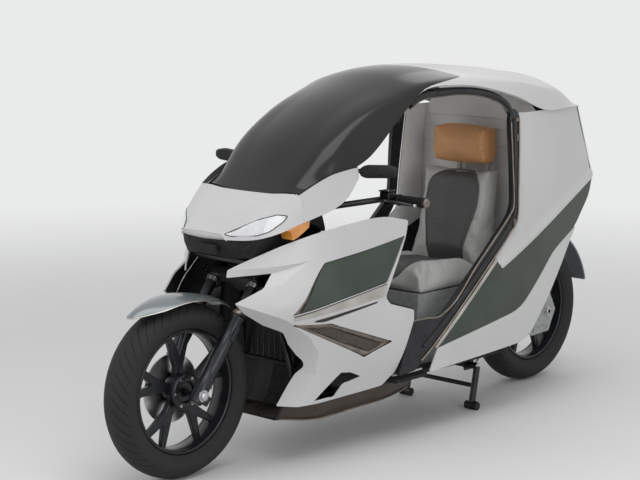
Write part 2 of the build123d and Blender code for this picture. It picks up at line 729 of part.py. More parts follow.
# Rear end: wall between the tail sides, lamp, and the mudguard behind the wheel
cowl_low_z = 2 * tyre_radius + 82
with BuildPart() as rear_cowl:
    with BuildSketch(Plane.XZ):
        with BuildLine():
            Polyline((-925, 1146), (-930, 1146), (-1040, 868), (-1008, cowl_low_z + 110), (-900, cowl_low_z),
                     (-893, cowl_low_z), (-1002, cowl_low_z + 110), (-1034, 868), close=True)
        make_face()
    extrude(amount=251.5, both=True)
save(rear_cowl, "rear_cowl")

with BuildPart() as tail_lamp:
    with BuildSketch(Plane.XZ):
        with BuildLine():
            Polyline((-1037.3, 860.5), (-1050, 856), (-1024, 792.5), (-1011.5, 797.6), close=True)
        make_face()
    extrude(amount=140, both=True)
save(tail_lamp, "tail_lamp")

flap_inner = tyre_radius + 32
flap_top = tyre_radius + flap_inner
with BuildPart() as rear_mudguard:
    with BuildSketch(Plane.XZ):
        with Locations((rear_axle_x, tyre_radius)):
            Circle(flap_inner + 5)
            Circle(flap_inner, mode=Mode.SUBTRACT)
    extrude(amount=75, both=True)
    with BuildSketch(Plane.XZ):
        with BuildLine():
            Polyline((rear_axle_x, tyre_radius), (rear_axle_x - 500, tyre_radius + 130), (rear_axle_x - 500, 3 * tyre_radius),
                     (rear_axle_x + 120, 3 * tyre_radius), close=True)
        make_face()
    extrude(amount=80, both=True, mode=Mode.INTERSECT)
    with BuildSketch(Plane.XZ):
        with BuildLine():
            Polyline((-906, flap_top - 8), (-906, cowl_low_z + 5.5), (-899.8, cowl_low_z - seat_gap),
                     (-892, cowl_low_z - seat_gap), (-888, flap_top - 8), close=True)
        make_face()
    extrude(amount=60, both=True)
save(rear_mudguard, "rear_mudguard")

# Mirrors behind the ends of the nose blades, one closed housing each
mirror_front_x = 404 - seat_gap
with BuildPart() as mirrors:
    with BuildSketch(Plane.YZ.offset(mirror_front_x - 26)):
        with BuildLine():
            Polyline((275, 992), (300, 984), (420, 994), (441, 1006), (438, 1030), (400, 1037), (300, 1030),
                     (275, 1018), close=True)
        make_face()
    extrude(amount=26)
    mirror(about=Plane.XZ)
save(mirrors, "mirrors")
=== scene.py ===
import bpy
import bmesh
import math
from mathutils import Vector, Matrix
from mathutils.bvhtree import BVHTree
from mathutils.geometry import delaunay_2d_cdt


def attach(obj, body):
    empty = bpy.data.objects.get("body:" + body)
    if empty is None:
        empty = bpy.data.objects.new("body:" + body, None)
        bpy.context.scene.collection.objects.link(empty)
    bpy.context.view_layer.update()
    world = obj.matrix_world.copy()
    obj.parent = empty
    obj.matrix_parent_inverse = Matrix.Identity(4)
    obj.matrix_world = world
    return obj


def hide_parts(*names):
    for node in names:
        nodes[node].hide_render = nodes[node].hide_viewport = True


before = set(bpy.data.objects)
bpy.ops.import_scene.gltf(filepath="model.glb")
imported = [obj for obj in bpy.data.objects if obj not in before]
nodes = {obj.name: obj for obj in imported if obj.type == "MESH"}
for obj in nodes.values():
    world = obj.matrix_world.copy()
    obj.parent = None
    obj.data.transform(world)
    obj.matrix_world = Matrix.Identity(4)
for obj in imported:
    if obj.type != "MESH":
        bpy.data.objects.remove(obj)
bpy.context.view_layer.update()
print("frame loaded", len(nodes), "nodes")

# Materials


def newMaterial(name, colour, roughness=0.5, metallic=0.0, coat=0.0, specular=0.5):
    mat = bpy.data.materials.new(name)
    mat.use_nodes = True
    shader = mat.node_tree.nodes["Principled BSDF"]
    shader.inputs["Base Color"].default_value = (*colour, 1)
    shader.inputs["Roughness"].default_value = roughness
    shader.inputs["Metallic"].default_value = metallic
    shader.inputs["Coat Weight"].default_value = coat
    shader.inputs["Coat Roughness"].default_value = 0.06
    shader.inputs["Specular IOR Level"].default_value = specular
    return mat, mat.node_tree.nodes, mat.node_tree.links, shader


def addNoise(mat, scale, detail=4.0):
    tree = mat.node_tree
    coords = tree.nodes.new("ShaderNodeTexCoord")
    noiseNode = tree.nodes.new("ShaderNodeTexNoise")
    noiseNode.inputs["Scale"].default_value = scale
    noiseNode.inputs["Detail"].default_value = detail
    tree.links.new(coords.outputs["Object"], noiseNode.inputs["Vector"])
    return noiseNode


def varyColour(mat, noiseNode, dark, light, low=0.35, high=0.65):
    tree = mat.node_tree
    ramp = tree.nodes.new("ShaderNodeValToRGB")
    ramp.color_ramp.elements[0].position = low
    ramp.color_ramp.elements[0].color = (*dark, 1)
    ramp.color_ramp.elements[1].position = high
    ramp.color_ramp.elements[1].color = (*light, 1)
    tree.links.new(noiseNode.outputs["Fac"], ramp.inputs["Fac"])
    tree.links.new(ramp.outputs["Color"], tree.nodes["Principled BSDF"].inputs["Base Color"])


def varyRoughness(mat, noiseNode, low, high):
    tree = mat.node_tree
    spread = tree.nodes.new("ShaderNodeMapRange")
    spread.inputs["To Min"].default_value = low
    spread.inputs["To Max"].default_value = high
    tree.links.new(noiseNode.outputs["Fac"], spread.inputs["Value"])
    tree.links.new(spread.outputs["Result"], tree.nodes["Principled BSDF"].inputs["Roughness"])


def addBump(mat, heightSocket, strength, distance):
    tree = mat.node_tree
    bump = tree.nodes.new("ShaderNodeBump")
    bump.inputs["Strength"].default_value = strength
    bump.inputs["Distance"].default_value = distance
    tree.links.new(heightSocket, bump.inputs["Height"])
    tree.links.new(bump.outputs["Normal"], tree.nodes["Principled BSDF"].inputs["Normal"])


def mathNode(tree, operation, a, b=None):
    node = tree.nodes.new("ShaderNodeMath")
    node.operation = operation
    for index, value in enumerate((a, b)):
        if value is None:
            continue
        if isinstance(value, (int, float)):
            node.inputs[index].default_value = value
        else:
            tree.links.new(value, node.inputs[index])
    return node.outputs[0]


# Columns: name, dark colour, light colour, low and high roughness, metallic, coat, noise scale, bump strength
finishTable = (
    ("whitePaint", (0.575, 0.575, 0.58), (0.615, 0.615, 0.62), 0.34, 0.42, 0.0, 0.08, 3, 0.0),
    ("greenPaint", (0.045, 0.058, 0.046), (0.060, 0.074, 0.060), 0.36, 0.46, 0.15, 0.10, 6, 0.0),
    ("slatePaint", (0.17, 0.19, 0.20), (0.21, 0.23, 0.24), 0.26, 0.34, 0.3, 0.4, 4, 0.0),
    ("screenDark", (0.014, 0.013, 0.014), (0.020, 0.018, 0.019), 0.17, 0.23, 0.0, 0.10, 2, 0.0),
    ("blackPlastic", (0.010, 0.010, 0.011), (0.020, 0.020, 0.021), 0.48, 0.62, 0.0, 0.0, 60, 0.06),
    ("bronzePlastic", (0.055, 0.044, 0.036), (0.085, 0.070, 0.058), 0.38, 0.50, 0.35, 0.1, 12, 0.03),
    ("greyPlastic", (0.30, 0.31, 0.31), (0.37, 0.38, 0.38), 0.45, 0.58, 0.0, 0.0, 50, 0.05),
    ("paleLining", (0.78, 0.78, 0.77), (0.84, 0.84, 0.83), 0.70, 0.85, 0.0, 0.0, 300, 0.06),
    ("blackMetal", (0.012, 0.013, 0.015), (0.024, 0.025, 0.028), 0.30, 0.42, 0.6, 0.2, 20, 0.0),
    ("steel", (0.42, 0.42, 0.43), (0.56, 0.56, 0.57), 0.24, 0.36, 1.0, 0.0, 40, 0.0),
    ("brightMetal", (0.44, 0.42, 0.39), (0.62, 0.60, 0.56), 0.25, 0.42, 0.9, 0.0, 9, 0.05),
    ("bronzeMetal", (0.17, 0.145, 0.125), (0.25, 0.215, 0.185), 0.32, 0.44, 0.8, 0.0, 30, 0.0),
    ("rubberTrim", (0.012, 0.012, 0.012), (0.020, 0.020, 0.020), 0.60, 0.75, 0.0, 0.0, 70, 0.05),
    ("gripRubber", (0.010, 0.010, 0.010), (0.018, 0.018, 0.018), 0.66, 0.80, 0.0, 0.0, 120, 0.1),
    ("greyLeather", (0.46, 0.46, 0.445), (0.53, 0.53, 0.515), 0.48, 0.62, 0.0, 0.05, 160, 0.25),
    ("darkLeather", (0.060, 0.064, 0.062), (0.095, 0.100, 0.096), 0.50, 0.66, 0.0, 0.05, 160, 0.25),
    ("tanLeather", (0.68, 0.33, 0.135), (0.80, 0.41, 0.185), 0.44, 0.58, 0.0, 0.05, 150, 0.25),
    ("paleMetal", (0.50, 0.46, 0.41), (0.60, 0.56, 0.50), 0.34, 0.46, 0.3, 0.1, 14, 0.0),
    ("headlightLens", (0.62, 0.63, 0.65), (0.80, 0.81, 0.83), 0.06, 0.12, 0.0, 1.0, 14, 0.0),
    ("amberLens", (0.62, 0.22, 0.03), (0.78, 0.34, 0.07), 0.12, 0.2, 0.0, 0.7, 20, 0.0),
    ("redLens", (0.30, 0.012, 0.010), (0.42, 0.020, 0.016), 0.10, 0.18, 0.0, 0.8, 20, 0.0),
    ("mirrorGlass", (0.62, 0.64, 0.66), (0.68, 0.70, 0.72), 0.03, 0.05, 1.0, 0.0, 5, 0.0),
    ("displayGlass", (0.008, 0.010, 0.013), (0.016, 0.020, 0.026), 0.05, 0.09, 0.0, 0.8, 5, 0.0),
    ("ventMesh", (0.050, 0.042, 0.036), (0.095, 0.080, 0.066), 0.42, 0.60, 0.4, 0.0, 180, 0.4),
)
# finishes that mirror the room less than the rest
dullFinish = {"blackPlastic": 0.2, "rubberTrim": 0.2, "gripRubber": 0.2, "screenDark": 0.3, "greenPaint": 0.3,
              "whitePaint": 0.3}
finish = {}
for name, dark, light, rough0, rough1, metallic, coat, scale, bumpStrength in finishTable:
    mat, matNodes, matLinks, shader = newMaterial(name, dark, (rough0 + rough1) / 2, metallic, coat,
                                                  dullFinish.get(name, 0.5))
    noiseNode = addNoise(mat, scale)
    varyColour(mat, noiseNode, dark, light)
    varyRoughness(mat, noiseNode, rough0, rough1)
    if bumpStrength:
        addBump(mat, noiseNode.outputs["Fac"], bumpStrength, 0.001)
    finish[name] = mat

# belly pan: bronze under the doors, black ahead of the fairings' lower corner
bellyLook = {"front": 0.638, "fade": 0.012, "black": (0.013, 0.013, 0.014), "dark": (0.055, 0.044, 0.036),
             "light": (0.085, 0.070, 0.058), "roughness": (0.40, 0.54), "noiseScale": 12}
mat, matNodes, matLinks, shader = newMaterial("bellyPlastic", bellyLook["light"], 0.44, 0.3, 0.05, 0.3)
noiseNode = addNoise(mat, bellyLook["noiseScale"])
coords = matNodes.new("ShaderNodeTexCoord")
split = matNodes.new("ShaderNodeSeparateXYZ")
matLinks.new(coords.outputs["Object"], split.inputs["Vector"])
ahead = matNodes.new("ShaderNodeMapRange")
ahead.inputs["From Min"].default_value = bellyLook["front"]
ahead.inputs["From Max"].default_value = bellyLook["front"] + bellyLook["fade"]
matLinks.new(split.outputs["X"], ahead.inputs["Value"])
shade = matNodes.new("ShaderNodeMix")
shade.data_type = "RGBA"
shade.inputs[6].default_value = (*bellyLook["dark"], 1)
shade.inputs[7].default_value = (*bellyLook["light"], 1)
matLinks.new(noiseNode.outputs["Fac"], shade.inputs["Factor"])
front = matNodes.new("ShaderNodeMix")
front.data_type = "RGBA"
front.inputs[7].default_value = (*bellyLook["black"], 1)
matLinks.new(shade.outputs[2], front.inputs[6])
matLinks.new(ahead.outputs["Result"], front.inputs["Factor"])
matLinks.new(front.outputs[2], shader.inputs["Base Color"])
varyRoughness(mat, noiseNode, *bellyLook["roughness"])
finish["bellyPlastic"] = mat

# Tyre: the tread's blocks come from the UV map that the tyre's mesh gets, u round it and v across
tyreLook = {"blocks": 46, "slant": 7.0, "grooveWidth": 0.075, "grooveDepth": 0.0022, "treadHalf": 0.27,
            "ribHalf": 0.03, "grooveColour": (0.006, 0.006, 0.006), "blockColour": (0.021, 0.021, 0.022)}
mat, matNodes, matLinks, shader = newMaterial("tyreRubber", (0.016, 0.016, 0.016), 0.72, 0, 0, 0.3)
uv = matNodes.new("ShaderNodeUVMap")
uv.uv_map = "tread"
split = matNodes.new("ShaderNodeSeparateXYZ")
matLinks.new(uv.outputs["UV"], split.inputs["Vector"])
tree = mat.node_tree
fromMiddle = mathNode(tree, "ABSOLUTE", mathNode(tree, "SUBTRACT", split.outputs["Y"], 0.5))
slanted = mathNode(tree, "ADD", mathNode(tree, "MULTIPLY", split.outputs["X"], tyreLook["blocks"]),
                   mathNode(tree, "MULTIPLY", fromMiddle, tyreLook["slant"]))
wave = mathNode(tree, "PINGPONG", slanted, 0.5)
raised = mathNode(tree, "GREATER_THAN", wave, tyreLook["grooveWidth"])
onTread = mathNode(tree, "LESS_THAN", fromMiddle, tyreLook["treadHalf"])
middleRib = mathNode(tree, "LESS_THAN", fromMiddle, tyreLook["ribHalf"])
block = mathNode(tree, "MAXIMUM", mathNode(tree, "MAXIMUM", raised, middleRib),
                 mathNode(tree, "SUBTRACT", 1.0, onTread))
mixColour = matNodes.new("ShaderNodeMixRGB")
mixColour.inputs["Color1"].default_value = (*tyreLook["grooveColour"], 1)
mixColour.inputs["Color2"].default_value = (*tyreLook["blockColour"], 1)
matLinks.new(block, mixColour.inputs["Fac"])
matLinks.new(mixColour.outputs["Color"], shader.inputs["Base Color"])
addBump(mat, block, 0.9, tyreLook["grooveDepth"])
finish["tyreRubber"] = mat

# Headlight: fine ribs behind the lens
lensRibs = {"scale": 38, "distortion": 0.4, "strength": 0.35, "depth": 0.002}
mat = finish["headlightLens"]
coords = mat.node_tree.nodes.new("ShaderNodeTexCoord")
ribs = mat.node_tree.nodes.new("ShaderNodeTexWave")
ribs.inputs["Scale"].default_value = lensRibs["scale"]
ribs.inputs["Distortion"].default_value = lensRibs["distortion"]
mat.node_tree.links.new(coords.outputs["Object"], ribs.inputs["Vector"])
addBump(mat, ribs.outputs["Fac"], lensRibs["strength"], lensRibs["depth"])
print("materials ready", len(finish))

# Finish of the CAD nodes that are shown as they are
nodeFinish = {
    "front_disc": "steel", "rear_disc": "steel", "fork_legs": "blackMetal", "fork_clamps": "blackMetal",
    "front_mudguard": "slatePaint", "front_calliper": "blackMetal", "handlebar": "blackMetal",
    "hand_grips": "gripRubber", "hand_levers": "blackMetal", "frame": "blackMetal",
    "motor_block": "blackPlastic",
    "swingarm": "blackMetal", "hub_cover": "greyPlastic", "centre_stand": "blackMetal",
    "windscreen": "screenDark", "roof": "whitePaint", "nose_cowl": "whitePaint",
    "headlights": "headlightLens", "indicators": "amberLens", "fairings": "whitePaint",
    "fairing_inserts": "greenPaint", "fairing_vents": "ventMesh", "bright_strips": "brightMetal",
    "tail_panels": "whitePaint", "green_panels": "greenPaint", "lower_trims": "whitePaint",
    "door_frames": "blackMetal", "nose_recess": "blackPlastic", "belly_pan": "bellyPlastic",
    "floor_board": "blackPlastic", "seat_box": "greyPlastic", "seat_base": "greyLeather",
    "seat_back": "greyLeather", "headrest": "tanLeather", "headrest_post": "paleMetal",
    "rear_bulkhead": "paleLining", "dash": "blackPlastic", "rear_cowl": "blackPlastic",
    "tail_lamp": "redLens", "rear_mudguard": "slatePaint", "mirrors": "blackPlastic",
    "front_tyre": "tyreRubber", "rear_tyre": "tyreRubber", "front_rim": "blackMetal",
    "rear_rim": "blackMetal",
}
for node, name in nodeFinish.items():
    nodes[node].data.materials.clear()
    nodes[node].data.materials.append(finish[name])

# Mesh helpers
sides = ((1, "left"), (-1, "right"))


def mm(*values):
    return Vector([value / 1000 for value in values])


def newObject(name, data):
    obj = bpy.data.objects.new(name, data)
    bpy.context.scene.collection.objects.link(obj)
    return obj


def makeObject(name, data, material, body):
    # new piece with its finish, riding on a body
    obj = newObject(name, data)
    obj.data.materials.append(finish[material])
    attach(obj, body)
    return obj


def meshFrom(name, verts, faces):
    mesh = bpy.data.meshes.new(name)
    mesh.from_pydata([tuple(v) for v in verts], [], faces)
    mesh.update()
    return mesh


def meshOf(name, bm, recalc=True, smooth=True, sharpAngle=None):
    # mesh from a finished bmesh
    if recalc:
        bmesh.ops.recalc_face_normals(bm, faces=bm.faces)
    mesh = bpy.data.meshes.new(name)
    bm.to_mesh(mesh)
    bm.free()
    if smooth:
        mesh.shade_smooth()
    if sharpAngle:
        mesh.set_sharp_from_angle(angle=math.radians(sharpAngle))
    return mesh


def facesOutward(mesh, weld=0.0):
    # welds doubled points of a turned mesh and faces it outward
    bm = bmesh.new()
    bm.from_mesh(mesh)
    if weld:
        bmesh.ops.remove_doubles(bm, verts=bm.verts, dist=weld)
    bmesh.ops.recalc_face_normals(bm, faces=bm.faces)
    bm.to_mesh(mesh)
    bm.free()
    mesh.shade_smooth()


def facesSideways(mesh):
    # turns the faces of both side walls away from the middle
    for poly in mesh.polygons:
        if poly.normal.y * poly.center.y < 0:
            poly.flip()


def joinRows(bm, rows, closed=False, turned=False, flipped=False):
    # faces between neighbouring rows of vertices; turned runs each face across the rows first
    for a, b in zip(rows, rows[1:]):
        for index in range(len(a) if closed else len(a) - 1):
            after = (index + 1) % len(a)
            face = (a[index], a[after], b[after], b[index])
            if turned:
                face = (a[index], b[index], b[after], a[after])
            bm.faces.new(face[::-1] if flipped else face)


def addBox(bm, centre, size, turn=0):
    # box by its centre and sizes in millimetres, turned about the y axis in degrees
    place = (Matrix.Translation(mm(*centre)) @ Matrix.Rotation(math.radians(turn), 4, "Y")
             @ Matrix.Diagonal((size[0] / 1000, size[1] / 1000, size[2] / 1000, 1)))
    bmesh.ops.create_cube(bm, size=1, matrix=place)


def thicken(obj, thickness, offset=-1, lining=None):
    solid = obj.modifiers.new("thickness", "SOLIDIFY")
    solid.thickness = thickness
    solid.offset = offset
    if lining:
        obj.data.materials.append(finish[lining])
        solid.material_offset = 1


def addBevel(obj, width, segments=2, angle=40):
    bevel = obj.modifiers.new("bevel", "BEVEL")
    bevel.width = width
    bevel.segments = segments
    bevel.limit_method = "ANGLE"
    bevel.angle_limit = math.radians(angle)
    bevel.harden_normals = False


def addNormals(obj):
    normals = obj.modifiers.new("normals", "WEIGHTED_NORMAL")
    normals.keep_sharp = True
    normals.weight = 70


# Narrow rounded edges on the CAD nodes that stay in view
edgeRadius = {"fork_clamps": 0.003, "front_calliper": 0.004, "swingarm": 0.002, "hub_cover": 0.003,
              "dash": 0.006, "indicators": 0.005, "floor_board": 0.003, "seat_box": 0.004, "rear_cowl": 0.002,
              "tail_lamp": 0.003, "nose_recess": 0.003, "rear_bulkhead": 0.003, "belly_pan": 0.002,
              "motor_block": 0.006}
for node, radius in edgeRadius.items():
    addBevel(nodes[node], radius, 2, 35)


def catmull(points, perSegment):
    # smooth curve through the points
    points = [Vector(p) for p in points]
    made = []
    for index in range(len(points) - 1):
        before = points[index - 1] if index else points[index] * 2 - points[index + 1]
        after = points[index + 2] if index + 2 < len(points) else points[index + 1] * 2 - points[index]
        a, b = points[index], points[index + 1]
        for step in range(perSegment):
            t = step / perSegment
            made.append(0.5 * ((2 * a) + (b - before) * t + (2 * before - 5 * a + 4 * b - after) * t * t
                               + (3 * a - before - 3 * b + after) * t * t * t))
    made.append(points[-1])
    return made


def rounded(points, radius, steps=4):
    # closed outline with rounded corners; a third value in a point is its own radius
    made = []
    count = len(points)
    for index, point in enumerate(points):
        here = Vector(point[:2])
        size = point[2] if len(point) > 2 else radius
        toPrev = Vector(points[index - 1][:2]) - here
        toNext = Vector(points[(index + 1) % count][:2]) - here
        reach = min(size, toPrev.length * 0.45, toNext.length * 0.45)
        if reach < 0.5:
            made.append(tuple(here))
            continue
        start = here + toPrev.normalized() * reach
        end = here + toNext.normalized() * reach
        for step in range(steps + 1):
            t = step / steps
            made.append(tuple((1 - t) ** 2 * start + 2 * t * (1 - t) * here + t * t * end))
    return made


def gridFaces(rows, columns, closeRows=False, closeColumns=False):
    faces = []
    for row in range(rows if closeRows else rows - 1):
        for column in range(columns if closeColumns else columns - 1):
            a = row * columns + column
            b = row * columns + (column + 1) % columns
            c = ((row + 1) % rows) * columns + (column + 1) % columns
            d = ((row + 1) % rows) * columns + column
            faces.append((a, b, c, d))
    return faces


def edgeDistance(x, z, a, b):
    # distance of a point from the stretch a to b
    along = Vector((b[0] - a[0], b[1] - a[1]))
    t = max(0.0, min(1.0, ((x - a[0]) * along.x + (z - a[1]) * along.y) / along.length_squared))
    return math.hypot(x - a[0] - along.x * t, z - a[1] - along.y * t)


def insideCurve(x, y, curve):
    inside = False
    for (ax, ay), (bx, by) in zip(curve, curve[1:] + curve[:1]):
        if (ay > y) != (by > y) and x < ax + (y - ay) / (by - ay) * (bx - ax):
            inside = not inside
    return inside


def flatNet(outline, holes, creases, step):
    # points and faces of a flat sheet with holes, whose edges follow the creases
    points = []
    edges = []
    lines = []
    loops = [(loop, True) for loop in (outline, *holes)] + [(list(line), False) for line in creases]
    for loop, closed in loops:
        first = len(points)
        for index in range(len(loop) if closed else len(loop) - 1):
            a, b = loop[index], loop[(index + 1) % len(loop)]
            lines.append((a, b))
            parts = max(1, round(math.dist(a, b) / step))
            points += [(a[0] + (b[0] - a[0]) * i / parts,
                        a[1] + (b[1] - a[1]) * i / parts) for i in range(parts)]
        if not closed:
            points.append(loop[-1])
        edges += [(i, i + 1) for i in range(first, len(points) - 1)]
        if closed:
            edges.append((len(points) - 1, first))
    xs = [p[0] for p in outline]
    zs = [p[1] for p in outline]
    for row in range(int((max(zs) - min(zs)) / step) + 1):
        for column in range(int((max(xs) - min(xs)) / step) + 1):
            x, z = min(xs) + (column + 0.5 * (row % 2)) * step, min(zs) + row * step
            if insideCurve(x, z, outline) and min(edgeDistance(x, z, a, b) for a, b in lines) > step * 0.45:
                points.append((x, z))
    made = delaunay_2d_cdt([Vector(p) for p in points], edges, [], 0, 0.01)
    verts = [(p.x, p.y) for p in made[0]]
    faces = []
    for face in made[2]:
        x = sum(verts[i][0] for i in face) / len(face)
        z = sum(verts[i][1] for i in face) / len(face)
        inHole = any(insideCurve(x, z, hole) for hole in holes)
        if abs(turnOf(face, verts)) > 0.5 and insideCurve(x, z, outline) and not inHole:
            faces.append(tuple(face))
    return verts, faces


def turnOf(face, verts):
    # twice the signed area of a flat face
    return sum(verts[a][0] * verts[b][1] - verts[b][0] * verts[a][1]
               for a, b in zip(face, face[1:] + face[:1]))


def sidePanel(name, body, material, outline, surface, thickness=0.005, bevel=0.002, step=20, radius=6,
              lift=0.0, creases=(), sharpAngle=None, lining=None, holes=()):
    # outline in x and z, surface gives y, all in millimetres; lift is outward; creases are side view lines
    verts, faces = flatNet(rounded(outline, radius), [rounded(hole, 4, 3) for hole in holes], creases, step)
    bm = bmesh.new()
    for side in (1, -1):
        made = [bm.verts.new(mm(x, side * (surface(x, z) + lift), z)) for x, z in verts]
        for face in faces:
            corners = [made[i] for i in face]
            if (turnOf(face, verts) > 0) == (side > 0):
                corners.reverse()
            bm.faces.new(corners)
    bmesh.ops.delete(bm, geom=[vert for vert in bm.verts if not vert.link_faces], context="VERTS")
    mesh = meshOf(name, bm, recalc=False, sharpAngle=sharpAngle)
    obj = makeObject(name, mesh, material, body)
    thicken(obj, thickness, lining=lining)
    if bevel:
        addBevel(obj, bevel)
    addNormals(obj)
    return obj


def tube(name, body, material, points, radius, sides=3, smooth=True, both=False):
    # round tube along points in millimetres; both adds its mirror image
    curve = bpy.data.curves.new(name, "CURVE")
    curve.dimensions = "3D"
    curve.bevel_depth = radius / 1000
    curve.bevel_resolution = sides
    curve.resolution_u = 6
    curve.use_fill_caps = True
    lines = [points]
    if both:
        lines.append([(x, -y, z) for x, y, z in points])
    for line in lines:
        spline = curve.splines.new("BEZIER" if smooth else "POLY")
        if smooth:
            spline.bezier_points.add(len(line) - 1)
            for knot, point in zip(spline.bezier_points, line):
                knot.co = mm(*point)
                knot.handle_left_type = knot.handle_right_type = "AUTO"
        else:
            spline.points.add(len(line) - 1)
            for knot, point in zip(spline.points, line):
                knot.co = (*mm(*point), 1)
    return makeObject(name, curve, material, body)


def boltSet(name, body, material, places, radius=5, height=4):
    # six-sided heads on washers; each place is x, y, z and the way that the head points
    bm = bmesh.new()
    for x, y, z, way in places:
        turn = Vector(way).normalized().to_track_quat("Z", "Y").to_matrix().to_4x4()
        place = Matrix.Translation(mm(x, y, z)) @ turn
        for size, tall, count in ((radius * 1.35, height * 0.35, 16), (radius, height, 6)):
            bmesh.ops.create_cone(bm, cap_ends=True, segments=count, radius1=size / 1000,
                                  radius2=size * 0.94 / 1000, depth=tall * 2 / 1000, matrix=place)
    mesh = bpy.data.meshes.new(name)
    bm.to_mesh(mesh)
    bm.free()
    return makeObject(name, mesh, material, body)


def lathe(name, body, material, profile, centre, segments=64, uvName=None, closed=True):
    # profile: (distance along the axle, radius), turned about the axle through centre
    verts = []
    for step in range(segments):
        angle = 2 * math.pi * step / segments
        for along, radius in profile:
            verts.append(Vector((centre[0] + radius * math.cos(angle), centre[1] + along,
                                 centre[2] + radius * math.sin(angle))) / 1000)
    faces = gridFaces(segments, len(profile), closeRows=True, closeColumns=closed)
    mesh = meshFrom(name, verts, faces)
    if uvName:
        layer = mesh.uv_layers.new(name=uvName)
        columns = len(profile)
        for poly in mesh.polygons:
            rowsHere = [mesh.loops[i].vertex_index // columns for i in poly.loop_indices]
            wrap = max(rowsHere) - min(rowsHere) > 1
            for i in poly.loop_indices:
                row, column = divmod(mesh.loops[i].vertex_index, columns)
                if wrap and row == 0:
                    row = segments
                layer.data[i].uv = (row / segments, column / (columns - 1))
    facesOutward(mesh)
    return makeObject(name, mesh, material, body)


# Wheels
wheel = {
    "radius": 299, "frontX": 991, "rearX": -946,
    # profiles: distance along the axle and radius
    "tyre": [(-41, 214), (-50, 222), (-57, 240), (-60, 256), (-56, 271), (-46, 284), (-32, 293), (-16, 297.8),
             (0, 299), (16, 297.8), (32, 293), (46, 284), (56, 271), (60, 256), (57, 240), (50, 222),
             (41, 214)],
    "rim": [(-42, 214), (-42, 204), (-38, 200), (-30, 202), (-24, 197), (24, 197), (30, 202), (38, 200),
            (42, 204), (42, 214), (36, 212), (-36, 212)],
    "hub": [(-35, 8.5), (-35, 36), (-32, 44), (-18, 54), (18, 54), (32, 44), (35, 36), (35, 8.5)],
    "carrier": [(40.2, 36), (43, 38), (43, 60), (40.2, 62)],
    # forked spoke: distance from the axle and distance across
    "spoke": [(36, -22), (84, -18), (199, -56), (200, -35), (130, 0), (200, 35), (199, 56), (84, 18),
              (36, 22)],
    "spokes": 5, "firstSpoke": 0.3, "spokeHalf": 13, "spokeTaper": 0.25, "spokeReach": 200,
    "boltCircle": 50, "boltSide": 43, "valveHeight": 8,
}
for end, body, axleX in (("front", "front_wheel", wheel["frontX"]), ("rear", "rear_wheel", wheel["rearX"])):
    axleZ = wheel["radius"]
    centre = (axleX, 0, axleZ)
    tyre = lathe(end + "_tyre_look", body, "tyreRubber", wheel["tyre"], centre, 72, "tread", closed=False)
    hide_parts(end + "_tyre")
    rim = lathe(end + "_rim_barrel", body, "blackMetal", wheel["rim"], centre, 64)
    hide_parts(end + "_rim")
    # forked spokes, thinner towards the rim
    bm = bmesh.new()
    for number in range(wheel["spokes"]):
        turn = 2 * math.pi * number / wheel["spokes"] + wheel["firstSpoke"]
        rings = []
        for half in (-wheel["spokeHalf"], wheel["spokeHalf"]):
            ring = []
            for along, across in wheel["spoke"]:
                depth = half * (1 - wheel["spokeTaper"] * along / wheel["spokeReach"])
                x = along * math.cos(turn) - across * math.sin(turn)
                z = along * math.sin(turn) + across * math.cos(turn)
                ring.append(bm.verts.new(mm(axleX + x, depth, axleZ + z)))
            rings.append(ring)
        bm.faces.new(rings[0])
        bm.faces.new(rings[1][::-1])
        joinRows(bm, rings, closed=True, turned=True)
    mesh = meshOf(end + "_spokes", bm, smooth=False)
    spokes = makeObject(end + "_spokes", mesh, "blackMetal", body)
    addBevel(spokes, 0.004, 2, 30)
    lathe(end + "_hub", body, "blackMetal", wheel["hub"], centre, 40)
    # carrier ring and bolts over the CAD disc
    lathe(end + "_disc_carrier", body, "blackMetal", wheel["carrier"], centre, 40)
    boltSet(end + "_disc_bolts", body, "steel",
            [(axleX + wheel["boltCircle"] * math.cos(a * math.pi / 3), wheel["boltSide"],
              axleZ + wheel["boltCircle"] * math.sin(a * math.pi / 3), (0, 1, 0)) for a in range(6)], 4, 3)
    valveZ = axleZ + wheel["valveHeight"]
    tube(end + "_valve", body, "rubberTrim", [(axleX + 196, 0, valveZ), (axleX + 172, 10, valveZ)], 3, 2,
         False)
print("wheels ready")

# Side surfaces


def cubic(t, span, a, b, slopeA, slopeB):
    # value between a and b with a slope at both ends
    return ((2 * t ** 3 - 3 * t * t + 1) * a + (t ** 3 - 2 * t * t + t) * span * slopeA
            + (-2 * t ** 3 + 3 * t * t) * b + (t ** 3 - t * t) * span * slopeB)


def hermite(places, values, place):
    # smooth line through the values at rising places
    index = 0
    while index < len(places) - 2 and place > places[index + 1]:
        index += 1
    slopes = [(values[i + 1] - values[i]) / (places[i + 1] - places[i]) for i in range(len(places) - 1)]
    slope = slopes[index]
    t = (place - places[index]) / (places[index + 1] - places[index])
    if t < 0:
        return values[index] + slope * (place - places[index])
    if t > 1:
        return values[index + 1] + slope * (place - places[index + 1])
    slopeA = slope if index == 0 else (slope + slopes[index - 1]) / 2
    slopeB = slope if index == len(slopes) - 1 else (slope + slopes[index + 1]) / 2
    span = places[index + 1] - places[index]
    return cubic(t, span, values[index], values[index + 1], slopeA, slopeB)


def levelSurface(levels):
    # outer face of a side wall: y at (x, z), from knots (x, y) at each level, back to front
    heights = [level[0] for level in levels]
    count = len(levels[0][1])

    def find(x, z):
        z = min(max(z, heights[0]), heights[-1])
        xs = [hermite(heights, [level[1][knot][0] for level in levels], z) for knot in range(count)]
        ys = [hermite(heights, [level[1][knot][1] for level in levels], z) for knot in range(count)]
        return hermite(xs, ys, x)

    return find


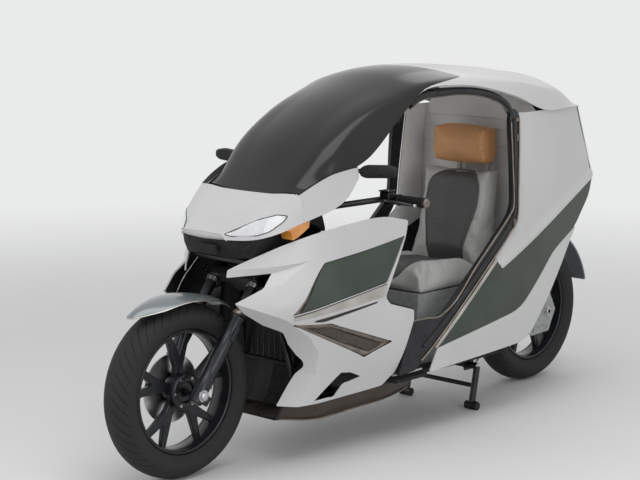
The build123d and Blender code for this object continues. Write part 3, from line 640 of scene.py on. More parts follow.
# Columns: height, tip x and y, shoulder x and y, middle x and y, rear y
fairingLevels = (
    (205, 710, 205, 650, 222, 400, 240, 246), (320, 665, 226, 582, 250, 430, 280, 286),
    (400, 680, 248, 592, 272, 450, 300, 302), (480, 760, 252, 665, 284, 470, 312, 313),
    (545, 845, 226, 740, 288, 480, 318, 318), (605, 895, 172, 755, 282, 490, 320, 321),
    (700, 850, 112, 740, 236, 490, 314, 324), (870, 700, 180, 640, 250, 420, 310, 324),
)
fairingY = levelSurface([(row[0], [(20, row[7]), (row[5], row[6]), (row[3], row[4]), (row[1], row[2])])
                         for row in fairingLevels])
# Columns: height, front y, middle y, rear x, rear y
tailLevels = ((160, 285, 290, -700, 280), (400, 300, 312, -900, 280), (600, 305, 316, -960, 268),
              (870, 302, 314, -1045, 258), (1150.5, 288, 296, -935, 258))
tailY = levelSurface([(row[0], [(row[3], row[4]), (-500, row[2]), (210, row[1])]) for row in tailLevels])


# brow over the front slot: its crease, the valley below it and the shelf under the valley, in the side view
browLook = {"crease": ((858, 700), (642, 727)), "valley": ((862, 676), (753, 690), (642, 727)),
            "depth": 23, "shelf": 34, "top": 740}


def lineHeight(x, a, b):
    # height at x on the straight line through two side view points
    return a[1] + (a[0] - x) * (b[1] - a[1]) / (a[0] - b[0])


def browLines(x):
    # heights of the brow's crease and of the valley below it
    front, bend, rear = browLook["valley"]
    valley = lineHeight(x, front, bend) if x > bend[0] else lineHeight(x, bend, rear)
    return lineHeight(x, *browLook["crease"]), valley


# lower front edge band, folded inward ahead of this line; columns: height, x, inward slope
chamferLine = ((205, 650, 1.2), (320, 582, 1.35), (400, 592, 1.6), (462, 643, 1.9), (516, 722, 2.2),
               (538, 751, 2.4), (603, 895, 2.6))
chamferDepth = 95


def aheadOfChamfer(x, z):
    heights = [row[0] for row in chamferLine]
    z = min(max(z, heights[0]), heights[-1])
    for low, high in zip(chamferLine, chamferLine[1:]):
        if low[0] <= z <= high[0]:
            break
    t = (z - low[0]) / (high[0] - low[0])
    if x <= low[1] + (high[1] - low[1]) * t:
        return 0.0
    nearest = min(edgeDistance(x, z, (a[1], a[0]), (b[1], b[0]))
                  for a, b in zip(chamferLine, chamferLine[1:]))
    return nearest * (low[2] + (high[2] - low[2]) * t)


def fairingSkin(x, z):
    # the brow over the front slot folds inward to a valley, and a short shelf comes out again below it
    y = fairingY(x, z)
    if z < chamferLine[-1][0]:
        y -= min(aheadOfChamfer(x, z), chamferDepth)
    bend, rear = browLook["valley"][1:]
    if x < rear[0] or z > browLook["top"]:
        return y
    brow, valley = browLines(x)
    share = min(1.0, (x - rear[0]) / (bend[0] - rear[0]))
    depth = browLook["depth"] * share
    shelf = browLook["shelf"] * share
    if valley < z < brow:
        y -= depth * (brow - z) / (brow - valley)
    elif valley - shelf < z <= valley:
        y -= depth * (1 - (valley - z) / shelf)
    return y


creaseLines = {
    "chamfer": [(row[1], row[0]) for row in chamferLine],
    "brow": browLook["crease"],
    "valley": browLook["valley"][1:],
    "shelf": [(797, 650.5), (753, 656), (642, 727)],
}

# Fairings
fairing = {
    "outline": [(893, 602, 4), (806, 646, 10), (753, 690, 3), (861, 676, 4), (857, 701, 4), (700, 789, 60),
                (608, 817, 40), (500, 833, 40), (370, 846, 40), (295, 844, 30), (187, 820, 12),
                (200, 768, 12), (304, 562, 14), (277, 533, 10), (142, 492, 8), (136, 455, 8), (190, 262, 12),
                (208, 252, 6), (240, 222, 12), (560, 212, 12), (690, 215, 6), (634, 305, 20), (608, 345, 16),
                (613, 370, 12), (673, 440, 16), (716, 485, 14), (778, 515, 14), (851, 562, 12)],
    "insert": [(738, 553), (588, 715), (205, 768), (298, 612)],
    "vent": [(728, 520), (569, 505), (249, 393), (386, 358)],
    "opening": [(580, 220), (477, 313), (435, 308), (367, 279), (455, 262), (486, 220)],
    "slit": [(648, 519), (640, 526), (345, 552), (345, 546), (600, 514)],
    "insertPanel": [(708, 559), (586, 712), (207, 766), (299, 616)],
    "ventInset": [(640, 490), (560, 488), (300, 390), (355, 373)],
    "strip": [(726, 546), (732, 535), (308, 567), (301, 603)],
}


def applyAll(obj):
    # puts the modifiers' result in the place of the mesh
    bpy.context.view_layer.update()
    graph = bpy.context.evaluated_depsgraph_get()
    mesh = bpy.data.meshes.new_from_object(obj.evaluated_get(graph))
    obj.modifiers.clear()
    obj.data = mesh


fairings = sidePanel("fairings_look", "chassis", "whitePaint", fairing["outline"], fairingSkin, 0.005, 0.0022,
                     16, creases=creaseLines.values(), sharpAngle=11,
                     lining="blackPlastic",
                     holes=[fairing[key] for key in ("insert", "vent", "opening", "slit")])
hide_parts("fairings")
print("fairings ready", len(fairings.data.polygons))

# Canopy: windscreen and roof
# Columns: station, side foot y and z, shoulder y and z, crown z, roundness of the shoulder
canopyStations = (
    (700, 190, 915, 140, 900, 902, 1.0), (650, 203, 942, 150, 945, 950, 1.0),
    (490, 255, 990, 215, 1078, 1112, 1.0),
    (340, 276, 1050, 225, 1172, 1210, 1.0), (150, 268, 1190, 235, 1248, 1290, 0.9),
    (29, 262, 1264, 240, 1286, 1326, 0.7),
    (-160, 285, 1275, 250, 1302, 1338, 0.35), (-450, 298, 1222, 255, 1280, 1322, 0.3),
    (-680, 284, 1151, 248, 1240, 1294, 0.35), (-880, 266, 1151, 215, 1200, 1245, 0.5),
    (-935, 258, 1151, 190, 1160, 1175, 0.6),
)
noseStations = (
    (875, 100, 806, 84, 822, 826, 0.5), (830, 150, 803, 140, 836, 842, 0.5),
    (795, 183, 806, 168, 862, 870, 0.45),
    (735, 222, 822, 197, 901, 908, 0.4), (650.6, 254, 852, 238, 944, 949, 0.35),
)


def stationValues(stations, x):
    # smooth interpolation of a station table at x
    rows = stations if stations[0][0] < stations[-1][0] else stations[::-1]
    x = min(max(x, rows[0][0]), rows[-1][0])
    for index in range(len(rows) - 1):
        if rows[index][0] <= x <= rows[index + 1][0]:
            break
    a, b = rows[index], rows[index + 1]
    before = rows[index - 1] if index else None
    after = rows[index + 2] if index + 2 < len(rows) else None
    span = b[0] - a[0]
    t = (x - a[0]) / span
    made = []
    for column in range(1, len(a)):
        slope = (b[column] - a[column]) / span
        slopeA = slope if before is None else 0.5 * (slope + (a[column] - before[column]) / (a[0] - before[0]))
        slopeB = slope if after is None else 0.5 * (slope + (after[column] - b[column]) / (after[0] - b[0]))
        if slopeA * slope < 0:
            slopeA = 0
        if slopeB * slope < 0:
            slopeB = 0
        made.append(cubic(t, span, a[column], b[column], slopeA, slopeB))
    return made


def hoopPoint(stations, x, across):
    # across from -1 (right foot) over 0 (crown) to 1 (left foot); the shoulder is at 0.7
    footY, footZ, shoulderY, shoulderZ, crown, roundness = stationValues(stations, x)
    side = -1 if across < 0 else 1
    knots = [Vector((-shoulderY / 2, (shoulderZ + 3 * crown) / 4)), Vector((0, crown)),
             Vector((shoulderY / 2, (shoulderZ + 3 * crown) / 4)), Vector((shoulderY, shoulderZ)),
             Vector((footY, footZ))]
    knots.append(knots[-1] + (knots[-1] - knots[-2]) * 0.8)
    places = (0, 0.35, 0.7, 1)
    u = min(abs(across), 1)
    for index in range(3):
        if u <= places[index + 1] + 1e-9:
            break
    t = (u - places[index]) / (places[index + 1] - places[index])
    p0, p1, p2, p3 = knots[index:index + 4]
    straight = p1.lerp(p2, t)
    curved = 0.5 * ((2 * p1) + (p2 - p0) * t + (2 * p0 - 5 * p1 + 4 * p2 - p3) * t * t
                    + (3 * p1 - p0 - 3 * p2 + p3) * t ** 3)
    # the top stays smooth, only the shoulder gets sharper
    near = max(0.0, 1 - abs(u - 0.7) / 0.3)
    mixed = curved.lerp(straight, near * (1 - roundness))
    return Vector((x, side * mixed[0], mixed[1])) / 1000


def roofLine(across):
    # joint of the screen and the roof, which runs forward down both sides
    u = abs(across)
    return -90 - 100 * u / 0.7 if u <= 0.7 else -190 + 254 * (u - 0.7) / 0.3


def screenFront(across):
    return 662 - 27 * abs(across) ** 2


def hoopSheet(name, material, stations, xStart, xEnd, rows, columns, thickness, angle=30, lining=None):
    # sheet over the vehicle between two lines across it, each a function of across
    verts = []
    for row in range(rows + 1):
        for column in range(columns + 1):
            across = -1 + 2 * column / columns
            x = xStart(across) + (xEnd(across) - xStart(across)) * row / rows
            verts.append(hoopPoint(stations, x, across))
    mesh = meshFrom(name, verts, gridFaces(rows + 1, columns + 1))
    bm = bmesh.new()
    bm.from_mesh(mesh)
    bmesh.ops.recalc_face_normals(bm, faces=bm.faces)
    if sum(face.normal.z for face in bm.faces) < 0:
        bmesh.ops.reverse_faces(bm, faces=bm.faces)
    bm.to_mesh(mesh)
    bm.free()
    mesh.shade_smooth()
    mesh.set_sharp_from_angle(angle=math.radians(angle))
    obj = makeObject(name, mesh, material, "chassis")
    thicken(obj, thickness, lining=lining)
    return obj


screen = hoopSheet("windscreen_look", "screenDark", canopyStations, screenFront, lambda a: roofLine(a) + 0.7,
                   44, 48, 0.005, 50)
addBevel(screen, 0.0012)
addNormals(screen)
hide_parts("windscreen")
roof = hoopSheet("roof_look", "whitePaint", canopyStations, roofLine, lambda a: -935, 40, 48, 0.005,
                 24, lining="paleLining")
addBevel(roof, 0.0016)
addNormals(roof)
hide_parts("roof")
print("canopy ready")

# Nose
nose = {
    "lamp": [(98, 823), (140, 850), (180, 873), (212, 885), (231, 880), (226, 861), (206, 831), (183, 819),
             (120, 817)],
    # station, foot y and z, top y and z, inner edge y and z
    "blade": ((650.5, 254, 852, 238, 944.5, 213, 941), (590, 266, 868, 250, 975, 230, 962),
              (518, 280, 890, 262, 1002, 250, 985), (456, 284, 924, 272, 1014, 262, 1003),
              (404, 286, 985, 281, 1022, 272, 1020)),
}
hood = hoopSheet("nose_hood_look", "whitePaint", noseStations, lambda a: 875 - 6 * a * a,
                 lambda a: 668 - 18 * min(1, abs(a) / 0.7) ** 2, 20, 40, 0.005, 30,
                 lining="blackPlastic")


def frontPrism(name, outline, grow=1.0):
    # front view outline through the whole nose, both sides
    middleY = sum(p[0] for p in outline) / len(outline)
    middleZ = sum(p[1] for p in outline) / len(outline)
    edge = rounded([(middleY + (y - middleY) * grow, middleZ + (z - middleZ) * grow) for y, z in outline],
                   5, 3)
    bm = bmesh.new()
    for side in (1, -1):
        rings = [[bm.verts.new(mm(x, side * y, z)) for y, z in edge] for x in (620, 960)]
        bm.faces.new(rings[0])
        bm.faces.new(rings[1][::-1])
        joinRows(bm, rings, closed=True, turned=True)
    return newObject(name, meshOf(name, bm, smooth=False))


def cutBy(obj, tool, operation):
    # applies a boolean and takes its tool away
    boolean = obj.modifiers.new("cut", "BOOLEAN")
    boolean.operation = operation
    boolean.solver = "EXACT"
    boolean.object = tool
    applyAll(obj)
    bpy.data.objects.remove(tool)


lens = newObject("headlight_lens", hood.data.copy())
thicken(lens, 0.004, -0.8)
lens.data.materials.clear()
lens.data.materials.append(finish["headlightLens"])
graph = bpy.context.evaluated_depsgraph_get()
graph.update()
hoodTree = BVHTree.FromObject(hood, graph)
rim = []
for y, z in rounded(nose["lamp"], 5, 3):
    hit = hoodTree.ray_cast(Vector((1.2, y / 1000, z / 1000)), Vector((-1, 0, 0)))[0]
    rim.append((hit.x * 1000, y, z))
rim.append(rim[0])
tube("headlight_rim", "chassis", "rubberTrim", rim, 1.5, 2, False, both=True)
cutBy(lens, frontPrism("lens_prism", nose["lamp"], 0.968), "INTERSECT")
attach(lens, "chassis")
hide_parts("headlights")
cutBy(hood, frontPrism("lamp_prism", nose["lamp"], 1.0), "DIFFERENCE")
for piece in (hood, lens):
    addBevel(piece, 0.0015, 2, 45)
    addNormals(piece)

# blades beside the screen, from the hood back to the mirrors
bm = bmesh.new()
feet, tops, inners = [catmull([Vector((row[0], row[column], row[column + 1])) for row in nose["blade"]], 5)
                      for column in (1, 3, 5)]
for side in (1, -1):
    rows = []
    for foot, top, inner in zip(feet, tops, inners):
        line = [foot, foot.lerp(top, 0.33), foot.lerp(top, 0.66), top, top.lerp(inner, 0.5), inner]
        rows.append([bm.verts.new(mm(p.x, side * p.y, p.z)) for p in line])
    joinRows(bm, rows, flipped=side < 0)
mesh = meshOf("nose_blades", bm, smooth=False)
facesSideways(mesh)
mesh.shade_smooth()
mesh.set_sharp_from_angle(angle=math.radians(35))
blades = makeObject("nose_blades_look", mesh, "whitePaint", "chassis")
thicken(blades, 0.005, lining="blackPlastic")
addBevel(blades, 0.0015)
addNormals(blades)
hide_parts("nose_cowl")

# lip across the front below the hood's shut line, wrapped round both corners
bm = bmesh.new()
rows = []
for column in range(33):
    across = -1 + column / 16
    top = hoopPoint(noseStations, 875 - 6 * across * across, across * 0.97) * 1000
    y = top.y * (1.0 + 0.02 * abs(across))
    back = 9 * abs(across) ** 3
    line = ((top.x - 1.5 - back, top.z - 2.5), (top.x + 0.5 - back, top.z - 5), (top.x + 0.5 - back, 813),
            (top.x - 3 - back, 804 + 3 * abs(across)), (top.x - 12 - back, 799 + 4 * abs(across)),
            (top.x - 40 - back, 797 + 6 * abs(across)))
    rows.append([bm.verts.new(mm(x, y, min(z, top.z - 2.5))) for x, z in line])
joinRows(bm, rows, turned=True)
bmesh.ops.recalc_face_normals(bm, faces=bm.faces)
if sum(face.normal.x for face in bm.faces) < 0:
    bmesh.ops.reverse_faces(bm, faces=bm.faces)
mesh = meshOf("nose_lip", bm, recalc=False)
lip = makeObject("nose_lip", mesh, "whitePaint", "chassis")
thicken(lip, 0.004)
addBevel(lip, 0.001)
addNormals(lip)
print("nose ready")

# Tail and door panels
tail = {
    "tail_panels": [(-500, 1150.5, 4), (-935, 1150.5, 6), (-1045, 870, 10), (-1035, 854, 4), (-372, 573, 8),
                    (-341, 609, 3), (-328, 621.6, 3), (-470, 745, 40)],
    "green_panels": [(-1036, 853, 3), (-372, 572, 8), (-340, 607.2, 4), (-12, 325, 3), (-498, 402, 60),
                     (-732, 597, 40), (-903, 673, 30), (-1012, 786, 30)],
    "lower_trims": [(25, 240, 10), (-12, 324, 4), (-498, 401.2, 60), (-731, 596.2, 40), (-904, 672.2, 6),
                    (-800, 545, 30), (-560, 268, 60)],
    # columns: two ends of an outer edge, width and depth of the sloping border beside it
    "borders": (((-1060, 862), (-340, 575), 42, -1), ((-500, 1160), (-470, 745), 62, 15),
                ((-470, 745), (-328, 621), 40, 9)),
    "creases": ([(-562, 1160), (-532, 760)], [(-1044, 901), (-400, 644)]),
}


def tailSkin(x, z):
    # the field lies a little deep; its border slopes in beside the door and out along the lower edge
    deep = 8.0
    for a, b, width, depth in tail["borders"]:
        near = max(0.0, 1 - edgeDistance(x, z, a, b) / width)
        if depth < 0:
            deep *= 1 - near
        else:
            deep += depth * near
    return tailY(x, z) - deep


tailPanels = sidePanel("tail_panels_look", "chassis", "whitePaint", tail["tail_panels"], tailSkin, 0.005,
                       0.0018, 14, creases=tail["creases"], sharpAngle=8,
                       lining="paleLining")
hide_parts("tail_panels")
greenPanels = sidePanel("green_panels_look", "chassis", "greenPaint", tail["green_panels"],
                        lambda x, z: tailY(x, z) - 3, 0.005, 0.0015, 22,
                        lining="blackPlastic")
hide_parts("green_panels")
trims = sidePanel("lower_trims_look", "chassis", "whitePaint", tail["lower_trims"], tailY, 0.005, 0.0018, 20,
                  lining="blackPlastic")
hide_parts("lower_trims")
inserts = sidePanel("fairing_inserts_look", "chassis", "greenPaint", fairing["insertPanel"],
                    lambda x, z: fairingY(x, z) - 2.5, 0.004, 0.0015, 22, radius=8)
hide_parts("fairing_inserts")
sidePanel("insert_liner", "chassis", "bronzeMetal", fairing["insert"], lambda x, z: fairingY(x, z) - 8.5,
          0.002, 0, 40, lining="blackPlastic")


def borderRing(name, body, material, outer, inner, surface, liftOuter, liftInner, radius=5):
    # sloping border between two side view outlines with as many corners
    ringA = rounded(outer, radius, 3)
    ringB = rounded(inner, radius, 3)
    bm = bmesh.new()
    for side in (1, -1):
        rows = []
        for t in (0, 0.5, 1):
            row = []
            for a, b in zip(ringA, ringB):
                x, z = a[0] + (b[0] - a[0]) * t, a[1] + (b[1] - a[1]) * t
                lift = liftOuter + (liftInner - liftOuter) * t
                row.append(bm.verts.new(mm(x, side * (surface(x, z) + lift), z)))
            rows.append(row)
        joinRows(bm, rows, closed=True, flipped=side < 0)
    mesh = meshOf(name, bm)
    facesSideways(mesh)
    thicken(makeObject(name, mesh, material, body), 0.002)


vents = sidePanel("fairing_vents_look", "chassis", "ventMesh", fairing["ventInset"], fairingY, 0.003, 0.001,
                  20, lift=-9)
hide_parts("fairing_vents")
edge = rounded(fairing["vent"], 5, 3)
edge.append(edge[0])
tube("vent_line", "chassis", "rubberTrim", [(x, fairingY(x, z) - 0.4, z) for x, z in edge], 1.5, 2, False,
     both=True)
borderRing("vent_border", "chassis", "bronzeMetal", fairing["vent"], fairing["ventInset"], fairingY, -1.5, -9)
sidePanel("slit_backing", "chassis", "bronzePlastic",
          [(662, 500), (650, 530), (335, 560), (335, 540), (600, 500)],
          fairingY, 0.002, 0, 30, lift=-8)
strips = sidePanel("bright_strips_look", "chassis", "brightMetal", fairing["strip"], fairingY, 0.004, 0.0008,
                   24, radius=3, lift=2.2)
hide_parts("bright_strips")
sidePanel("door_edge_strips", "chassis", "brightMetal", [(-338, 608), (-328, 620), (7, 330), (-9, 325.5)],
          tailY, 0.005, 0.0012, 24, radius=2, lift=1.5)


def skinLine(points, surface, lift):
    # points in the side view laid on a side surface
    return [(x, surface(x, z) + lift, z) for x, z in points]


def along(points, parts):
    # short straight steps along a side view line
    made = []
    for a, b in zip(points, points[1:]):
        for step in range(parts):
            t = step / parts
            made.append((a[0] + (b[0] - a[0]) * t, a[1] + (b[1] - a[1]) * t))
    made.append(points[-1])
    return made


tube("strip_bead", "chassis", "whitePaint", skinLine(along([(728, 528), (306, 560)], 12), fairingY, 0), 3.2,
     both=True)
tube("strip_top_line", "chassis", "rubberTrim", skinLine(along([(732, 549), (300, 608)], 12), fairingY, 0),
     1.6, both=True)
tube("opening_rim", "chassis", "whitePaint",
     skinLine(along([(578, 221), (484, 224), (455, 264), (370, 281)], 3), fairingY, -1), 3.4, both=True)
tube("fairing_rear_trim", "chassis", "rubberTrim",
     skinLine(along([(303, 566), (277, 537), (146, 495)], 4), fairingY, -3), 3, both=True)
tube("insert_bead", "chassis", "brightMetal", skinLine(along([(733, 556), (592, 711)], 5), fairingY, -4), 1.5,
     both=True)
print("side panels ready")

# Door frames and roof lining
door = {
    "band": [(-455, 1176, 20), (-492, 1150, 20), (-498.6, 1120, 6), (-470, 746, 60), (11, 330, 12),
             (60, 287, 8), (100, 258, 8), (187, 252, 6), (134, 452, 6), (122, 452, 6), (134, 440, 4),
             (-26, 440, 30), (-431, 790, 50), (-431, 1110, 10), (-434, 1140, 10)],
    "innerEdge": [(-437, 1120), (-437, 960), (-437, 800), (-428, 786), (-230, 615), (-28, 446), (60, 446),
                  (128, 446)],
    "outerEdge": [(-490, 1130), (-484, 1040), (-470, 870), (-463, 752), (-455, 738), (-230, 543), (4, 340),
                  (70, 290)],
    "middle": [(-462, 1128), (-461, 1030), (-454, 880), (-449, 772), (-438, 755), (-220, 566), (-4, 385),
               (60, 340)],
    "topRail": [(95, 246, 1214), (30, 248, 1242), (-70, 252, 1249), (-170, 263, 1251), (-260, 269, 1243),
                (-340, 273, 1226), (-400, 276, 1203), (-440, 279, 1172), (-459, 281, 1135),
                (-462, 283, 1080)],
}
band = sidePanel("door_frames_look", "chassis", "blackMetal", door["band"], tailY, 0.016, 0.003, 26, lift=-5)
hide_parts("door_frames")
tube("door_top_rail", "chassis", "blackMetal", door["topRail"], 14, 5, both=True)
tube("door_top_line", "chassis", "bronzeMetal", [(x + 2, y + 3, z - 14) for x, y, z in door["topRail"][:-2]],
     3, both=True)
tube("door_seal_top", "chassis", "rubberTrim", [(x, y - 9, z + 10) for x, y, z in door["topRail"][:-1]], 7,
     both=True)
for name, material, radius, lift in (("innerEdge", "bronzeMetal", 3.4, -3),
                                     ("outerEdge", "bronzeMetal", 3.4, -3),
                                     ("middle", "blackMetal", 7.0, -7)):
    tube("door_" + name, "chassis", material, skinLine(door[name], tailY, lift), radius, 4, both=True)
tube("door_groove", "chassis", "rubberTrim",
     skinLine([(x + 13, z + 3) for x, z in door["middle"]], tailY, -6), 4, 3, both=True)
# latch and hinge blocks on the pillars
bm = bmesh.new()
for side in (1, -1):
    for x, z, wide, tall in ((-472, 1128, 22, 14), (-468, 1060, 12, 26), (-440, 742, 18, 26)):
        addBox(bm, (x, side * (tailY(x, z) - 2), z), (wide, 10, tall))
bmesh.ops.bevel(bm, geom=bm.edges[:], offset=0.0022, segments=2, affect="EDGES")
makeObject("door_latches", meshOf("door_latches", bm, recalc=False, smooth=False), "bronzeMetal", "chassis")


def liningPoint(x, across):
    point = hoopPoint(canopyStations, x, across) * 1000
    return Vector((x, point.y * 0.955, point.z - 13)) / 1000


verts = [liningPoint(-60 - 560 * row / 24, -0.93 + 1.86 * column / 32)
         for row in range(25) for column in range(33)]
mesh = meshFrom("roof_lining", verts, gridFaces(25, 33))
mesh.shade_smooth()
thicken(makeObject("roof_lining", mesh, "paleLining", "chassis"), 0.004)
# oval reading lamp in the lining; rings: share of the size and drop
roofLamp = {"x": -350, "halfLength": 62, "halfWidth": 95, "rings": ((1.0, 0), (0.96, 4), (0.8, 7), (0.0, 8)),
            "steps": 28}
bm = bmesh.new()
rings = []
for shrink, drop in roofLamp["rings"]:
    ring = []
    for step in range(roofLamp["steps"]):
        angle = 2 * math.pi * step / roofLamp["steps"]
        x = roofLamp["x"] + roofLamp["halfLength"] * shrink * math.cos(angle)
        y = roofLamp["halfWidth"] * shrink * math.sin(angle)
        top = liningPoint(x, y / 255 * 0.7)
        ring.append(bm.verts.new((x / 1000, y / 1000, top.z - 0.002 - drop / 1000)))
    rings.append(ring)
joinRows(bm, rings, closed=True)
makeObject("roof_lamp", meshOf("roof_lamp", bm), "bronzePlastic", "chassis")
# ribs across the wall behind the seat
for z, half in ((1110, 262), (1068, 268), (1000, 274)):
    tube("wall_rib_" + str(z), "chassis", "paleLining", [(-623, -half, z), (-622, 0, z + 4), (-623, half, z)],
         4, 3)
print("door frames ready")

# Seat, backrest and headrest
seatLook = {"voxel": 0.0065, "shrink": 0.004, "cap": 0.024, "ease": 14, "material": "greyLeather",
            "slot": "seat_leather", "fill": 0.7}
padLook = {
    "seat_base": seatLook,
    "seat_back": seatLook,
    "headrest": {"voxel": 0.005, "shrink": 0.001, "cap": 0.014, "ease": 16, "material": "tanLeather",
                 "slot": "tan_leather", "fill": 0.8},
}
clothLook = {"quality": 4, "mass": 0.25, "pressure": 4, "frames": 18}
stitchLook = {"length": 5, "pitch": 8, "radius": 0.7}
scene = bpy.context.scene


def inflate(name, look, pinned):
    # cloth bag blown up over a CAD pad; pinned names the points that hold still
    source = nodes[name]
    mesh = source.data.copy()
    mesh.transform(source.matrix_world)
    mesh.materials.clear()
    pad = newObject(name + "_pad", mesh)
    remesh = pad.modifiers.new("remesh", "REMESH")
    remesh.mode = "VOXEL"
    remesh.voxel_size = look["voxel"]
    applyAll(pad)
    for vert in pad.data.vertices:
        vert.co -= vert.normal * look["shrink"]
    start = [vert.co.copy() for vert in pad.data.vertices]
    group = pad.vertex_groups.new(name="held")
    group.add([index for index, point in enumerate(start) if pinned(point)], 1.0, "REPLACE")
    cloth = pad.modifiers.new("cloth", "CLOTH")
    cloth.settings.quality = clothLook["quality"]
    cloth.settings.mass = clothLook["mass"]
    cloth.settings.use_pressure = True
    cloth.settings.uniform_pressure_force = clothLook["pressure"]
    cloth.settings.effector_weights.gravity = 0
    cloth.settings.vertex_group_mass = "held"
    cloth.point_cache.frame_start = 1
    cloth.point_cache.frame_end = clothLook["frames"] + 2
    for frameNumber in range(1, clothLook["frames"] + 1):
        scene.frame_set(frameNumber)
    applyAll(pad)
    for vert, before in zip(pad.data.vertices, start):
        move = vert.co - before
        if move.length > look["cap"]:
            vert.co = before + move * (look["cap"] / move.length)
    ease = pad.modifiers.new("ease", "SMOOTH")
    ease.factor = 0.5
    ease.iterations = look["ease"]
    applyAll(pad)
    pad.vertex_groups.clear()
    scene.frame_set(1)
    return pad


def finishPad(pad, name, look):
    # leather and rounding of the pad, which rides on the chassis in place of the CAD pad
    pad.data.materials.clear()
    pad.data.materials.append(finish[look["material"]])
    pad.data.shade_smooth()
    subdivide = pad.modifiers.new("smooth", "SUBSURF")
    subdivide.levels = 1
    subdivide.render_levels = 1
    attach(pad, "chassis")
    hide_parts(name)


def channel(pad, points, width, depth, way):
    # presses a sewn channel along a line; way is the inward direction, points are in the plane across it
    flat = [axis for axis in range(3) if axis != max(range(3), key=lambda i: abs(way[i]))]
    for vert in pad.data.vertices:
        if vert.normal.dot(way) > -0.25:
            continue
        here = (vert.co[flat[0]] * 1000, vert.co[flat[1]] * 1000)
        near = min(edgeDistance(here[0], here[1], a, b) for a, b in zip(points, points[1:]))
        if near < width:
            vert.co += Vector(way) * depth / 1000 * (0.5 + 0.5 * math.cos(math.pi * near / width)) ** 0.8


def smoothLine(points, parts=6):
    # smooth line through flat points
    return [(p.x, p.y) for p in catmull([Vector((a, b, 0)) for a, b in points], parts)]


# backrest: paler bolsters round a dark middle that narrows upward
backCurve = smoothLine([(84, 560), (94, 640), (115, 730), (126, 810), (116, 872), (76, 902), (0, 912),
                        (-76, 902), (-116, 872), (-126, 810), (-115, 730), (-94, 640), (-84, 560)])
seatCurve = smoothLine([(-395, 70), (-330, 84), (-220, 92), (-120, 86), (-72, 60), (-58, 0), (-72, -60),
                        (-120, -86), (-220, -92), (-330, -84), (-395, -70)])


back = inflate("seat_back", padLook["seat_back"], lambda p: p.z < 0.53 or p.x < -0.545 - (p.z - 0.56) * 0.1)
for vert in back.data.vertices:
    if vert.normal.x > 0.2 and vert.co.z > 0.56:
        side = abs(vert.co.y) * 1000
        lift = 16 * math.exp(-((side - 148) / 24) ** 2) - 10 * math.exp(-(side / 70) ** 2)
        vert.co.x += lift / 1000
channel(back, backCurve, 9, 7, Vector((-1, 0, 0)))
finishPad(back, "seat_back", padLook["seat_back"])
seat = inflate("seat_base", padLook["seat_base"], lambda p: p.z < 0.508)
for vert in seat.data.vertices:
    if vert.normal.z > 0.3:
        side = abs(vert.co.y) * 1000
        lift = 9 * math.exp(-((side - 136) / 26) ** 2) - 7 * math.exp(-(side / 70) ** 2)
        vert.co.z += lift / 1000
channel(seat, seatCurve, 9, 6, Vector((0, 0, -1)))
finishPad(seat, "seat_base", padLook["seat_base"])
for pad, curve, way in ((back, backCurve, "x"), (seat, seatCurve, "z")):
    pad.data.materials.append(finish["darkLeather"])
    for poly in pad.data.polygons:
        centre = poly.center * 1000
        if way == "x" and poly.normal.x > 0.1 and centre.z > 555 and insideCurve(centre.y, centre.z, curve):
            poly.material_index = 1
        if way == "z" and poly.normal.z > 0.1 and insideCurve(centre.x, centre.y, curve):
            poly.material_index = 1
rest = inflate("headrest", padLook["headrest"], lambda p: p.x < -0.572 and abs(p.y) < 0.09)
for vert in rest.data.vertices:
    vert.co.z = 1.080 - (1.080 - vert.co.z) * 1.17
for way in (-1, 1):
    channel(rest, [(-552, 930), (-548, 1000), (-552, 1110)], 6, 3, Vector((0, way, 0)))
finishPad(rest, "headrest", padLook["headrest"])


def layOn(pad, points, way, origin, sink=1.0):
    # points on the pad's surface, looked for from the origin plane
    graph = bpy.context.evaluated_depsgraph_get()
    graph.update()
    tree = BVHTree.FromObject(pad, graph)
    made = []
    for a, b in points:
        start = Vector((origin, a / 1000, b / 1000)) if way == "x" else Vector((a / 1000, b / 1000, origin))
        direction = Vector((-1, 0, 0)) if way == "x" else Vector((0, 0, -1))
        hit = tree.ray_cast(start, direction)[0]
        if hit:
            made.append(tuple((hit + direction * sink / 1000) * 1000))
    return made


def stitches(name, material, line):
    # short raised stitches along a line of points
    length = stitchLook["length"]
    curve = bpy.data.curves.new(name, "CURVE")
    curve.dimensions = "3D"
    curve.bevel_depth = stitchLook["radius"] / 1000
    curve.bevel_resolution = 1
    walked, goal = 0.0, 0.0
    for a, b in zip(line, line[1:]):
        a, b = Vector(a), Vector(b)
        span = (b - a).length
        while span > 0 and goal + length < walked + span:
            if goal >= walked:
                spline = curve.splines.new("POLY")
                spline.points.add(1)
                for knot, place in zip(spline.points, (goal, goal + length)):
                    spot = a.lerp(b, (place - walked) / span)
                    knot.co = (*(spot / 1000), 1)
            goal += stitchLook["pitch"]
        walked += span
    return makeObject(name, curve, material, "chassis")


backLine = layOn(back, backCurve, "x", -0.2, 0.5)
seatLine = layOn(seat, seatCurve, "z", 0.9, 0.5)
tube("seat_back_piping", "chassis", "darkLeather", backLine, 2.2, 3)
tube("seat_base_piping", "chassis", "darkLeather", seatLine, 2.2, 3)
outerBack = [(a * 1.09 + (4 if a > 0 else -4), b + (6 if b > 880 else 0)) for a, b in backCurve]
outerSeat = [(a, b * 1.1) for a, b in seatCurve]
stitches("seat_back_stitches", "greyLeather", layOn(back, outerBack, "x", -0.2, 0.1))
stitches("seat_base_stitches", "greyLeather", layOn(seat, outerSeat, "z", 0.9, 0.1))
print("pads ready", len(back.data.vertices), len(seat.data.vertices), len(rest.data.vertices))

